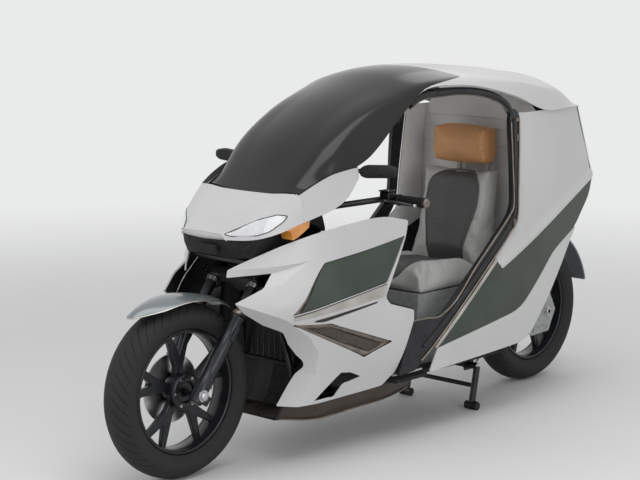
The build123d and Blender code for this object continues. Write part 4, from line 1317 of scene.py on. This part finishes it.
# Front mudguard
# Columns: angle ahead of straight up from the axle, clearance over the tyre, half width, drop of the edge
guardTable = ((37.5, 53, 4, 2), (35.5, 52, 20, 6), (29, 49, 40, 18), (20, 41, 63, 23), (10, 34, 76, 19),
              (0, 30, 80, 15), (-14.2, 29, 76, 13), (-26.6, 37, 62, 10), (-39, 41, 46, 7))
guardRows = catmull([Vector(row[:3]) for row in guardTable], 5)
guardDrops = catmull([Vector((row[3], 0, 0)) for row in guardTable], 5)
verts = []
for row, drop in zip(guardRows, guardDrops):
    reach = wheel["radius"] + row.y
    for column in range(13):
        across = -1 + column / 6
        down = drop.x * across * across
        verts.append(mm(wheel["frontX"] + (reach - down) * math.sin(math.radians(row.x)), row.z * across,
                        wheel["radius"] + reach * math.cos(math.radians(row.x)) - down))
mesh = meshFrom("front_mudguard_look", verts, gridFaces(len(guardRows), 13))
if sum(poly.normal.z for poly in mesh.polygons) < 0:
    mesh.flip_normals()
mesh.shade_smooth()
guard = makeObject("front_mudguard_look", mesh, "slatePaint", "steering")
thicken(guard, 0.004)
addBevel(guard, 0.0012)
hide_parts("front_mudguard")
edge = [tuple(vert * 1000) for vert in verts[::13]][::-1] + [tuple(vert * 1000) for vert in verts[12::13]]
tube("mudguard_rim", "steering", "brightMetal", [(x, y, z - 2) for x, y, z in edge[::2]], 2.0, 3)


forkRake = math.radians(38)


def onFork(along, side=0.0, ahead=0.0):
    # point beside the front axle: along the fork's legs, to the side and ahead of them
    return Vector((wheel["frontX"] - along * math.sin(forkRake) + ahead * math.cos(forkRake), side,
                   wheel["radius"] + along * math.cos(forkRake) + ahead * math.sin(forkRake)))


def blockMesh(name, body, material, boxes, bevel=0.003):
    # bevelled blocks; each is a centre, three sizes and a turn about the y axis in degrees
    bm = bmesh.new()
    for centre, size, turn in boxes:
        addBox(bm, centre, size, turn)
    obj = makeObject(name, meshOf(name, bm, recalc=False), material, body)
    addBevel(obj, bevel, 3, 30)
    addNormals(obj)
    return obj


def axisLathe(name, body, material, profile, start, way, segments=32):
    # profile: (distance along, radius), turned about the line from start
    way = Vector(way).normalized()
    sideways = way.orthogonal().normalized()
    upward = way.cross(sideways)
    verts = []
    for step in range(segments):
        angle = 2 * math.pi * step / segments
        for distance, radius in profile:
            verts.append((Vector(start) + way * distance
                          + (sideways * math.cos(angle) + upward * math.sin(angle)) * radius) / 1000)
    mesh = meshFrom(name, verts, gridFaces(segments, len(profile), closeRows=True))
    facesOutward(mesh, weld=0.00002)
    mesh.set_sharp_from_angle(angle=math.radians(38))
    return makeObject(name, mesh, material, body)


# Fork
forkUp = onFork(1) - onFork(0)
for out, word in sides:
    side = out * 100
    axisLathe("fork_slider_" + word, "steering", "blackMetal",
              [(-31, 0), (-31, 19), (-26, 25), (20, 26.5), (60, 26.5), (64, 24.6), (120, 24.6), (125, 26),
               (220, 26), (224, 24.6), (286, 24.8), (290, 27), (302, 27), (306, 22), (306, 18.8)],
              onFork(0, side), forkUp)
    axisLathe("fork_seal_" + word, "steering", "bronzeMetal",
              [(302, 19.3), (303, 24), (316, 24), (320, 21.5), (322, 19.3)], onFork(0, side), forkUp)
    axisLathe("fork_collar_" + word, "steering", "steel",
              [(412, 19.3), (412, 23), (427, 23), (427, 19.3)], onFork(0, side), forkUp)
    axisLathe("fork_cap_" + word, "steering", "steel", [(636, 19.4), (646, 19.4), (650, 14), (650, 0)],
              onFork(0, side), forkUp, 24)
    axisLathe("axle_nut_" + word, "steering", "steel",
              [(0, 21), (4, 21), (5, 15), (12, 15), (14, 12), (14, 0)],
              (wheel["frontX"], side + out * 23, wheel["radius"]), (0, out, 0), 12)
blockMesh("fork_pinch_blocks", "steering", "blackMetal",
          [(tuple(onFork(-6, 124, -22)), (22, 14, 34), -38),
           (tuple(onFork(-6, -124, -22)), (22, 14, 34), -38),
           (tuple(onFork(240, 126, 0)), (18, 8, 60), -38)], 0.003)
boltSet("fork_clamp_bolts", "steering", "steel",
        [(*onFork(level, side, 27), (math.cos(forkRake), 0, math.sin(forkRake)))
         for level in (437, 451, 607, 621) for side in (-118, 118)], 4, 4)
print("fork ready")

# Behind the front wheel and below the nose
# dark tray under the hood, with a box and a bracket
bm = bmesh.new()
frontRows = []
# Columns: x, half width, top and low edge
trayRows = ((858, 84, 802, 744), (846, 122, 802, 740), (795, 165, 806, 738), (700, 182, 820, 744),
            (600, 188, 830, 752))
for side in (1, -1):
    rows = []
    for x, half, top, low in trayRows:
        flange = 40 if x > 790 else 16
        line = ((x, half, top), (x - 4, half - 3, (top + low) / 2), (x - 14, half - 10, low),
                (x - 22, half - flange, low))
        rows.append([bm.verts.new(mm(px, side * py, pz)) for px, py, pz in line])
    joinRows(bm, rows, turned=True, flipped=side < 0)
    frontRows.append(rows[0])
joinRows(bm, frontRows)
tray = makeObject("nose_tray", meshOf("nose_tray", bm, sharpAngle=30), "blackPlastic", "chassis")
blockMesh("nose_tray_box", "chassis", "blackPlastic", [((868, 20, 768), (14, 92, 34), 8)], 0.004)
blockMesh("nose_bracket", "chassis", "blackMetal",
          [((782, 0, 722), (26, 250, 16), 0), ((800, 0, 738), (10, 190, 10), 0)], 0.004)
thicken(tray, 0.004, 0)
addBevel(tray, 0.0015)

# leg of the inner cowl between the wheel and the fairings, a cooler and two struts
bm = bmesh.new()
# Columns: height, x, half width
innerRows = ((700, 560, 168), (610, 572, 172), (500, 590, 176), (400, 582, 176), (300, 572, 172),
             (215, 600, 165))
for side in (1, -1):
    rows = []
    for z, x, half in innerRows:
        line = ((x - 18, half + 62), (x + 10, half + 30), (x, half), (x - 34, half - 26))
        rows.append([bm.verts.new(mm(px, side * py, z)) for px, py in line])
    joinRows(bm, rows, turned=True)
inner = makeObject("inner_cowl", meshOf("inner_cowl", bm), "blackPlastic", "chassis")
thicken(inner, 0.004, 0)
subdivide = inner.modifiers.new("smooth", "SUBSURF")
subdivide.levels = subdivide.render_levels = 2
for side, word in sides:
    tube("cowl_strut_" + word, "chassis", "blackMetal",
         [(596, side * 96, 470), (606, side * 128, 400), (596, side * 150, 300)], 9, 4)
blockMesh("cooler_frame", "chassis", "blackPlastic",
          [((560, 0, 330), (18, 260, 14), 4), ((556, 0, 466), (18, 260, 14), 4),
           ((558, 124, 398), (18, 14, 130), 4), ((558, -124, 398), (18, 14, 130), 4)], 0.003)
bm = bmesh.new()
for number in range(22):
    addBox(bm, (556, 0, 342 + number * 5.2), (10, 236, 1.2))
for number in range(9):
    addBox(bm, (554, -112 + number * 28, 398), (8, 4, 124))
makeObject("cooler_fins", meshOf("cooler_fins", bm, recalc=False, smooth=False), "blackMetal", "chassis")
# ribbed plate from the cooler down to the belly pan; columns: height, x, half width
plateRows = ((326, 566, 148), (300, 574, 150), (262, 585, 150), (222, 603, 148), (196, 628, 138))
verts = []
for z, x, half in plateRows:
    for column in range(25):
        across = -1 + column / 12
        rib = 5 if column % 6 == 3 else 0
        verts.append(mm(x - 26 * across * across + rib, half * across, z))
mesh = meshFrom("splash_plate", verts, gridFaces(len(plateRows), 25))
if sum(poly.normal.x for poly in mesh.polygons) < 0:
    mesh.flip_normals()
mesh.shade_smooth()
plate = makeObject("splash_plate", mesh, "blackPlastic", "chassis")
thicken(plate, 0.003)
addBevel(plate, 0.001)
print("front ready")

# Handlebar, levers, mirrors and dash
grip = {"x": 130, "z": 877, "end": 350, "length": 120, "radius": 17}
for side, word in sides:
    start = grip["end"] - grip["length"]
    profile = [(0, 11.4), (0, 20.5), (5, 21), (8, 18.5)]
    for rib in range(13):
        place = 12 + rib * 7.4
        profile += [(place, 17.4), (place + 1.4, 18.2), (place + 4.4, 18.2), (place + 5.8, 17.4)]
    profile += [(grip["length"] - 8, 18.4), (grip["length"] - 3, 18.6), (grip["length"] - 0.5, 16.5),
                (grip["length"] - 0.5, 11.4)]
    made = axisLathe("grip_" + word, "bars", "gripRubber", profile, (grip["x"], side * start, grip["z"]),
                     (0, side, 0), 40)
    if side > 0:
        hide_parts("hand_grips")
    axisLathe("bar_end_" + word, "bars", "bronzeMetal",
              [(0, 0), (0, 15), (3, 16.5), (10, 16.5), (14, 13), (15, 0)],
              (grip["x"], side * (grip["end"] - 0.3), grip["z"]), (0, side, 0), 28)
    axisLathe("bar_end_ring_" + word, "bars", "steel", [(5, 16.4), (5, 17.2), (8, 17.2), (8, 16.4)],
              (grip["x"], side * (grip["end"] - 0.3), grip["z"]), (0, side, 0), 28)
blockMesh("switch_boxes", "bars", "blackPlastic",
          [((grip["x"] - 2, side * 190, grip["z"]), (44, 34, 42), 0) for side in (1, -1)], 0.008)
blockMesh("switch_keys", "bars", "greyPlastic",
          [((grip["x"] - 23, side * 196, grip["z"] + 8), (6, 12, 7), 0) for side in (1, -1)]
          + [((grip["x"] - 23, side * 186, grip["z"] - 8), (6, 10, 10), 0) for side in (1, -1)]
          + [((grip["x"] - 10, side * 194, grip["z"] + 21), (14, 8, 4), 0) for side in (1, -1)], 0.0018)
blockMesh("fluid_tanks", "bars", "blackMetal",
          [((grip["x"] + 34, side * 206, grip["z"] + 20), (40, 44, 24), 0) for side in (1, -1)], 0.006)
blockMesh("fluid_lids", "bars", "blackPlastic",
          [((grip["x"] + 34, side * 206, grip["z"] + 34), (44, 48, 5), 0) for side in (1, -1)], 0.002)
boltSet("fluid_lid_screws", "bars", "steel",
        [(grip["x"] + 34 + a * 16, side * 206 + b * 18, grip["z"] + 36.5, (0, 0, 1))
         for a in (-1, 1) for side in (-1, 1) for b in (-1, 1)], 2.2, 1.6)
# levers as flattened blades over the CAD lever rods
for side, word in sides:
    spine = catmull([Vector((182, side * 214, 879)), Vector((184, side * 240, 878)),
                     Vector((180, side * 285, 875)),
                     Vector((177, side * 325, 872)), Vector((175, side * 346, 871))], 5)
    bm = bmesh.new()
    rows = []
    for index, point in enumerate(spine):
        share = index / (len(spine) - 1)
        wide = 7.5 + 2.5 * math.sin(math.pi * share)
        tall = 4.6
        # thicker tip
        if share > 0.93:
            wide += 2
            tall += 1.5
        rows.append([bm.verts.new(mm(point.x + wide * math.cos(a), point.y, point.z + tall * math.sin(a)))
                     for a in [math.pi * 2 * k / 12 for k in range(12)]])
    joinRows(bm, rows, closed=True)
    bm.faces.new(rows[0])
    bm.faces.new(rows[-1])
    makeObject("lever_blade_" + word, meshOf("lever_blade_" + word, bm), "steel", "bars")
axisLathe("bar_clamp", "bars", "blackMetal", [(-34, 18), (-34, 21), (-30, 23), (30, 23), (34, 21), (34, 18)],
          (377.3, 0, 850.4), (0, 1, 0), 28)
boltSet("bar_clamp_bolts", "bars", "steel", [(366, y, 872, (-0.35, 0, 0.94)) for y in (-22, 22)]
        + [(389, y, 872, (0.1, 0, 1)) for y in (-22, 22)], 4, 4)

# mirror housings, glass and stalks; the outline is the front view, the rings are x and share of the outline
mirror = {
    "outline": rounded([(275, 992), (300, 984), (420, 994), (441, 1006), (438, 1030), (400, 1037),
                        (300, 1030), (275, 1018)], 12, 4),
    "middle": (358, 1011), "glassX": 379.5, "glass": (0.9, 0.88),
    "rings": ((378.5, 0.90), (378.0, 1.0), (386, 1.0), (396, 0.93), (402, 0.72), (403.4, 0.35)),
}


def mirrorRing(bm, x, side, growY, growZ):
    # the mirror's outline at x, drawn in towards its middle
    midY, midZ = mirror["middle"]
    return [bm.verts.new(mm(x, side * (midY + (y - midY) * growY), midZ + (z - midZ) * growZ))
            for y, z in mirror["outline"]]


bm = bmesh.new()
for side in (1, -1):
    rings = [mirrorRing(bm, x, side, grow, grow) for x, grow in mirror["rings"]]
    joinRows(bm, rings, closed=True)
    bm.faces.new(rings[-1])
mesh = meshOf("mirror_housings", bm, sharpAngle=60)
housings = makeObject("mirror_housings", mesh, "blackPlastic", "chassis")
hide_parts("mirrors")
bm = bmesh.new()
for side in (1, -1):
    made = bm.faces.new(mirrorRing(bm, mirror["glassX"], side, *mirror["glass"]))
    made.normal_update()
    if made.normal.x > 0:
        made.normal_flip()
mesh = meshOf("mirror_glass", bm, recalc=False, smooth=False)
thicken(makeObject("mirror_glass", mesh, "mirrorGlass", "chassis"), 0.002)
tube("mirror_stalks", "chassis", "blackPlastic", [(404, 262, 1004), (396, 278, 1008), (390, 300, 1010)], 8, 4,
     both=True)

# instrument panel: hooded display, three round rims and a row of keys
facing = Vector((-0.953, 0, 0.303))
blockMesh("display_frame", "chassis", "blackPlastic", [((484, 0, 858), (10, 220, 74), 17.6)], 0.006)
blockMesh("display_glass", "chassis", "displayGlass", [((478.6, 0, 860), (2, 200, 60), 17.6)], 0.0008)
for y, size in ((-62, 22), (62, 22), (0, 15)):
    axisLathe("dial_rim_" + str(y + 100), "chassis", "steel",
              [(0, size), (1.6, size), (1.6, size - 1.6), (0, size - 1.6)], (477.4, y, 860.4), facing, 40)
blockMesh("dash_keys", "chassis", "greyPlastic",
          [((473.4, -40 + 20 * number, 822), (4, 13, 8), 9) for number in range(5)], 0.0015)
tube("dash_hood", "chassis", "blackPlastic",
     [(500, -118, 884), (490, -112, 908), (482, 0, 916), (490, 112, 908), (500, 118, 884)], 5, 3)
print("cockpit ready")

# Rear end, motor side, belly and stand
blockMesh("plate_holder", "chassis", "blackPlastic", [((-1006, 0, 742), (6, 190, 130), -9)], 0.004)
blockMesh("plate_blank", "chassis", "greyPlastic", [((-1010.5, 0, 744), (2, 176, 112), -9)], 0.001)
boltSet("plate_screws", "chassis", "steel", [(-1012, y, 748, (-1, 0, 0.15)) for y in (-60, 60)], 3, 2)
blockMesh("tail_lamp_frame", "chassis", "blackPlastic",
          [((-1031, 143, 827), (38, 6, 70), -18), ((-1031, -143, 827), (38, 6, 70), -18),
           ((-1043, 0, 861), (14, 288, 5), -18), ((-1017, 0, 790), (12, 288, 5), -18)], 0.0015)
blockMesh("tail_lamp_bars", "chassis", "redLens",
          [((-1044.5, y, 828), (5, 62, 48), -20) for y in (-102, -34, 34, 102)], 0.006)
for side, word in sides:
    axisLathe("rear_signal_" + word, "chassis", "amberLens",
              [(0, 0), (0, 15), (6, 16), (16, 13), (22, 7), (23, 0)],
              (-1018, side * 196, 806), (-0.93, 0, -0.36), 28)
    axisLathe("rear_signal_base_" + word, "chassis", "blackPlastic",
              [(-10, 17), (-10, 19), (3, 19), (3, 16.2)],
              (-1018, side * 196, 806), (-0.93, 0, -0.36), 28)


# rolled edge and ribs of the rear mudguard
def aroundRear(radius, first):
    # side view points behind the rear wheel, from an angle in degrees down to the end of the mudguard
    return [(wheel["rearX"] + radius * math.cos(math.radians(a)),
             wheel["radius"] + radius * math.sin(math.radians(a)))
            for a in range(first, 166, 6)]


flap = aroundRear(334, 98)
for side, word in sides:
    tube("flap_edge_" + word, "chassis", "slatePaint", [(x, side * 74, z) for x, z in flap], 4, 3)
tube("flap_end", "chassis", "slatePaint", [(flap[-1][0], -74, flap[-1][1]), (flap[-1][0], 74, flap[-1][1])],
     4, 3)
for y in (-36, 0, 36):
    tube("flap_rib_" + str(y + 40), "chassis", "slatePaint", [(x, y, z) for x, z in aroundRear(336.5, 112)],
         2.4, 2)

coverBolts = [(wheel["rearX"] + x, 113, wheel["radius"] + z, (0, 1, 0))
              for x, z in ((222, 20), (84, 82), (-8, 68), (-8, -66), (88, -70), (222, -28))]
boltSet("hub_cover_bolts", "chassis", "steel", coverBolts, 5, 4)
axisLathe("rear_axle_nut", "chassis", "steel", [(0, 20), (3, 20), (4, 15), (11, 15), (13, 12), (13, 8)],
          (wheel["rearX"], 112.5, wheel["radius"]), (0, 1, 0), 12)
tube("hub_cover_rib", "chassis", "greyPlastic", [(-746, 113, 305), (-850, 113, 340), (-930, 113, 352)],
     3.5, 3)
tube("hub_cover_rib_low", "chassis", "greyPlastic", [(-746, 113, 290), (-850, 113, 245), (-930, 113, 240)],
     3.5, 3)
blockMesh("rear_calliper", "chassis", "blackMetal", [((-880, -58, 386), (72, 26, 44), -40)], 0.006)
boltSet("rear_calliper_bolts", "chassis", "steel",
        [(-898, -72, 372, (0, -1, 0)), (-862, -72, 402, (0, -1, 0))], 4, 4)
# spring and damper beside the rear wheel on both sides
spring = {"low": (-800, 118, 330), "high": (-705, 118, 610), "start": 62, "length": 190, "radius": 26,
          "turns": 8, "steps": 11, "wire": 4}
for side, word in sides:
    low, high = [Vector((x, side * y, z)) for x, y, z in (spring["low"], spring["high"])]
    way = (high - low).normalized()
    axisLathe("damper_" + word, "chassis", "blackMetal",
              [(0, 0), (0, 15), (8, 18), (90, 18), (96, 9), (250, 9), (254, 17), (290, 17), (295, 0)],
              low, way, 24)
    sideways = way.orthogonal().normalized()
    upward = way.cross(sideways)
    knots = spring["turns"] * spring["steps"]
    coil = []
    for knot in range(knots + 1):
        angle = 2 * math.pi * knot / spring["steps"]
        out = (sideways * math.cos(angle) + upward * math.sin(angle)) * spring["radius"]
        coil.append(tuple(low + way * (spring["start"] + spring["length"] * knot / knots) + out))
    tube("spring_" + word, "chassis", "bronzeMetal", coil, spring["wire"], 3)

# belly: bronze pan edges, screws and bright sills under the doors
tube("sill_strip", "chassis", "brightMetal", [(198, 262, 252), (120, 270, 252), (48, 274, 254)], 4, 3,
     both=True)
for side, word in sides:
    tube("belly_line_" + word, "chassis", "bronzeMetal",
         [(x, side * y, z) for x, y, z in ((640, 128, 152), (500, 166, 134), (330, 188, 143), (150, 200, 153),
                                           (30, 190, 167))], 3, 3)
boltSet("belly_screws", "chassis", "steel",
        [(x, side * y, z, (0, 0, -1)) for x, y, z in ((600, 90, 145), (420, 120, 136.5), (200, 140, 146))
         for side in (1, -1)], 5, 2)
for side, word in sides:
    axisLathe("stand_foot_pad_" + word, "stand", "rubberTrim", [(-12, 16.2), (-12, 17), (12, 17), (12, 16.2)],
              (-388.3, side * 178, 17.2), (0, 1, 0), 24)
    axisLathe("stand_pivot_cap_" + word, "stand", "steel", [(0, 0), (0, 11), (4, 11), (6, 8), (6, 0)],
              (-420, side * 165, 165), (0, side, 0), 20)
tube("stand_spring", "chassis", "steel", [(-470, 140, 190), (-440, 142, 170), (-424, 142, 160)], 4, 3)
# ribs on the foot mat
bm = bmesh.new()
for number in range(15):
    for side in (1, -1):
        addBox(bm, (10 + number * 26, side * 122, 237.6), (12, 190, 2.2))
mesh = meshOf("foot_mat_ribs", bm, recalc=False, smooth=False)
ribs = makeObject("foot_mat_ribs", mesh, "rubberTrim", "chassis")
addBevel(ribs, 0.0008, 1)
boltSet("seat_box_screws", "chassis", "blackMetal",
        [(-41, y, z, (1, 0, 0)) for y in (-140, 140) for z in (280, 440)], 5, 3)
blockMesh("seat_box_seam", "chassis", "blackPlastic",
          [((-46, 0, 372), (3, 300, 3), 0), ((-46, 120, 372), (8, 46, 12), 0)], 0.001)
print("rear and belly ready")

# Stage, light and camera
stageLook = {"floor": 0.80, "floorRadius": 14, "fadeStart": 1.6, "fadeEnd": 6.5,
             "backdrop": (0.82, 0.825, 0.83), "world": (0.84, 0.84, 0.85), "worldStrength": 0.5}
cameraLook = {"place": (4.8303, 4.2502, 1.7264), "pitch": 80.86, "yaw": 133.14, "lens": 98.41, "sensor": 36}
bpy.ops.mesh.primitive_circle_add(vertices=96, radius=stageLook["floorRadius"], fill_type="NGON",
                                  location=(0, 0, 0))
floor = bpy.context.object
floor.name = "studio_floor"
floorMat, floorNodes, floorLinks, floorShader = newMaterial("studioFloor", (0.8, 0.8, 0.8), 0.7)
floorNoise = addNoise(floorMat, 0.6)
varyColour(floorMat, floorNoise, (stageLook["floor"] - 0.01,) * 3, (stageLook["floor"] + 0.01,) * 3)
# the floor fades into the backdrop away from the vehicle
coords = floorNodes.new("ShaderNodeTexCoord")
reach = floorNodes.new("ShaderNodeVectorMath")
reach.operation = "LENGTH"
fade = floorNodes.new("ShaderNodeMapRange")
fade.interpolation_type = "SMOOTHSTEP"
fade.inputs["From Min"].default_value = stageLook["fadeStart"]
fade.inputs["From Max"].default_value = stageLook["fadeEnd"]
clear = floorNodes.new("ShaderNodeBsdfTransparent")
mixShader = floorNodes.new("ShaderNodeMixShader")
floorLinks.new(coords.outputs["Object"], reach.inputs[0])
floorLinks.new(reach.outputs["Value"], fade.inputs["Value"])
floorLinks.new(fade.outputs["Result"], mixShader.inputs["Fac"])
floorLinks.new(floorShader.outputs["BSDF"], mixShader.inputs[1])
floorLinks.new(clear.outputs["BSDF"], mixShader.inputs[2])
floorLinks.new(mixShader.outputs["Shader"], floorNodes["Material Output"].inputs["Surface"])
floor.data.materials.append(floorMat)

world = bpy.data.worlds.new("studio")
bpy.context.scene.world = world
world.use_nodes = True
worldNodes = world.node_tree.nodes
worldLinks = world.node_tree.links
light = worldNodes["Background"]
light.inputs["Color"].default_value = (*stageLook["world"], 1)
light.inputs["Strength"].default_value = stageLook["worldStrength"]
seen = worldNodes.new("ShaderNodeBackground")
seen.inputs["Color"].default_value = (*stageLook["backdrop"], 1)
rays = worldNodes.new("ShaderNodeLightPath")
mixWorld = worldNodes.new("ShaderNodeMixShader")
cameraOrGlossy = mathNode(world.node_tree, "MAXIMUM", rays.outputs["Is Camera Ray"],
                          rays.outputs["Is Glossy Ray"])
seenRays = mathNode(world.node_tree, "MAXIMUM", cameraOrGlossy, rays.outputs["Is Transmission Ray"])
worldLinks.new(seenRays, mixWorld.inputs["Fac"])
worldLinks.new(light.outputs["Background"], mixWorld.inputs[1])
worldLinks.new(seen.outputs["Background"], mixWorld.inputs[2])
worldLinks.new(mixWorld.outputs["Shader"], worldNodes["World Output"].inputs["Surface"])

# Columns: name, place, size, power, aimed at
lightTable = (
    ("keyLight", (1.2, 1.6, 5.2), 3.6, 96, (0, 0, 0.6)),
    ("fillLight", (5.0, -1.5, 2.6), 3.0, 55, (0, 0, 0.6)),
    ("sideLight", (1.5, 5.5, 2.0), 3.0, 66, (-0.2, 0, 0.7)),
    ("rearLight", (-4.5, -1.5, 4.2), 3.0, 24, (0, 0, 0.7)),
)
for name, place, size, power, aim in lightTable:
    lamp = bpy.data.lights.new(name, "AREA")
    lamp.energy = power
    lamp.size = size
    lampObject = newObject(name, lamp)
    lampObject.location = place
    lampObject.rotation_euler = (Vector(aim) - Vector(place)).to_track_quat("-Z", "Y").to_euler()

cameraData = bpy.data.cameras.new("camera")
cameraData.lens = cameraLook["lens"]
cameraData.sensor_width = cameraLook["sensor"]
cameraData.clip_end = 100
camera = newObject("camera", cameraData)
camera.location = cameraLook["place"]
camera.rotation_euler = (math.radians(cameraLook["pitch"]), 0, math.radians(cameraLook["yaw"]))
bpy.context.scene.camera = camera
bpy.context.scene.view_settings.view_transform = "Standard"
print("stage ready")
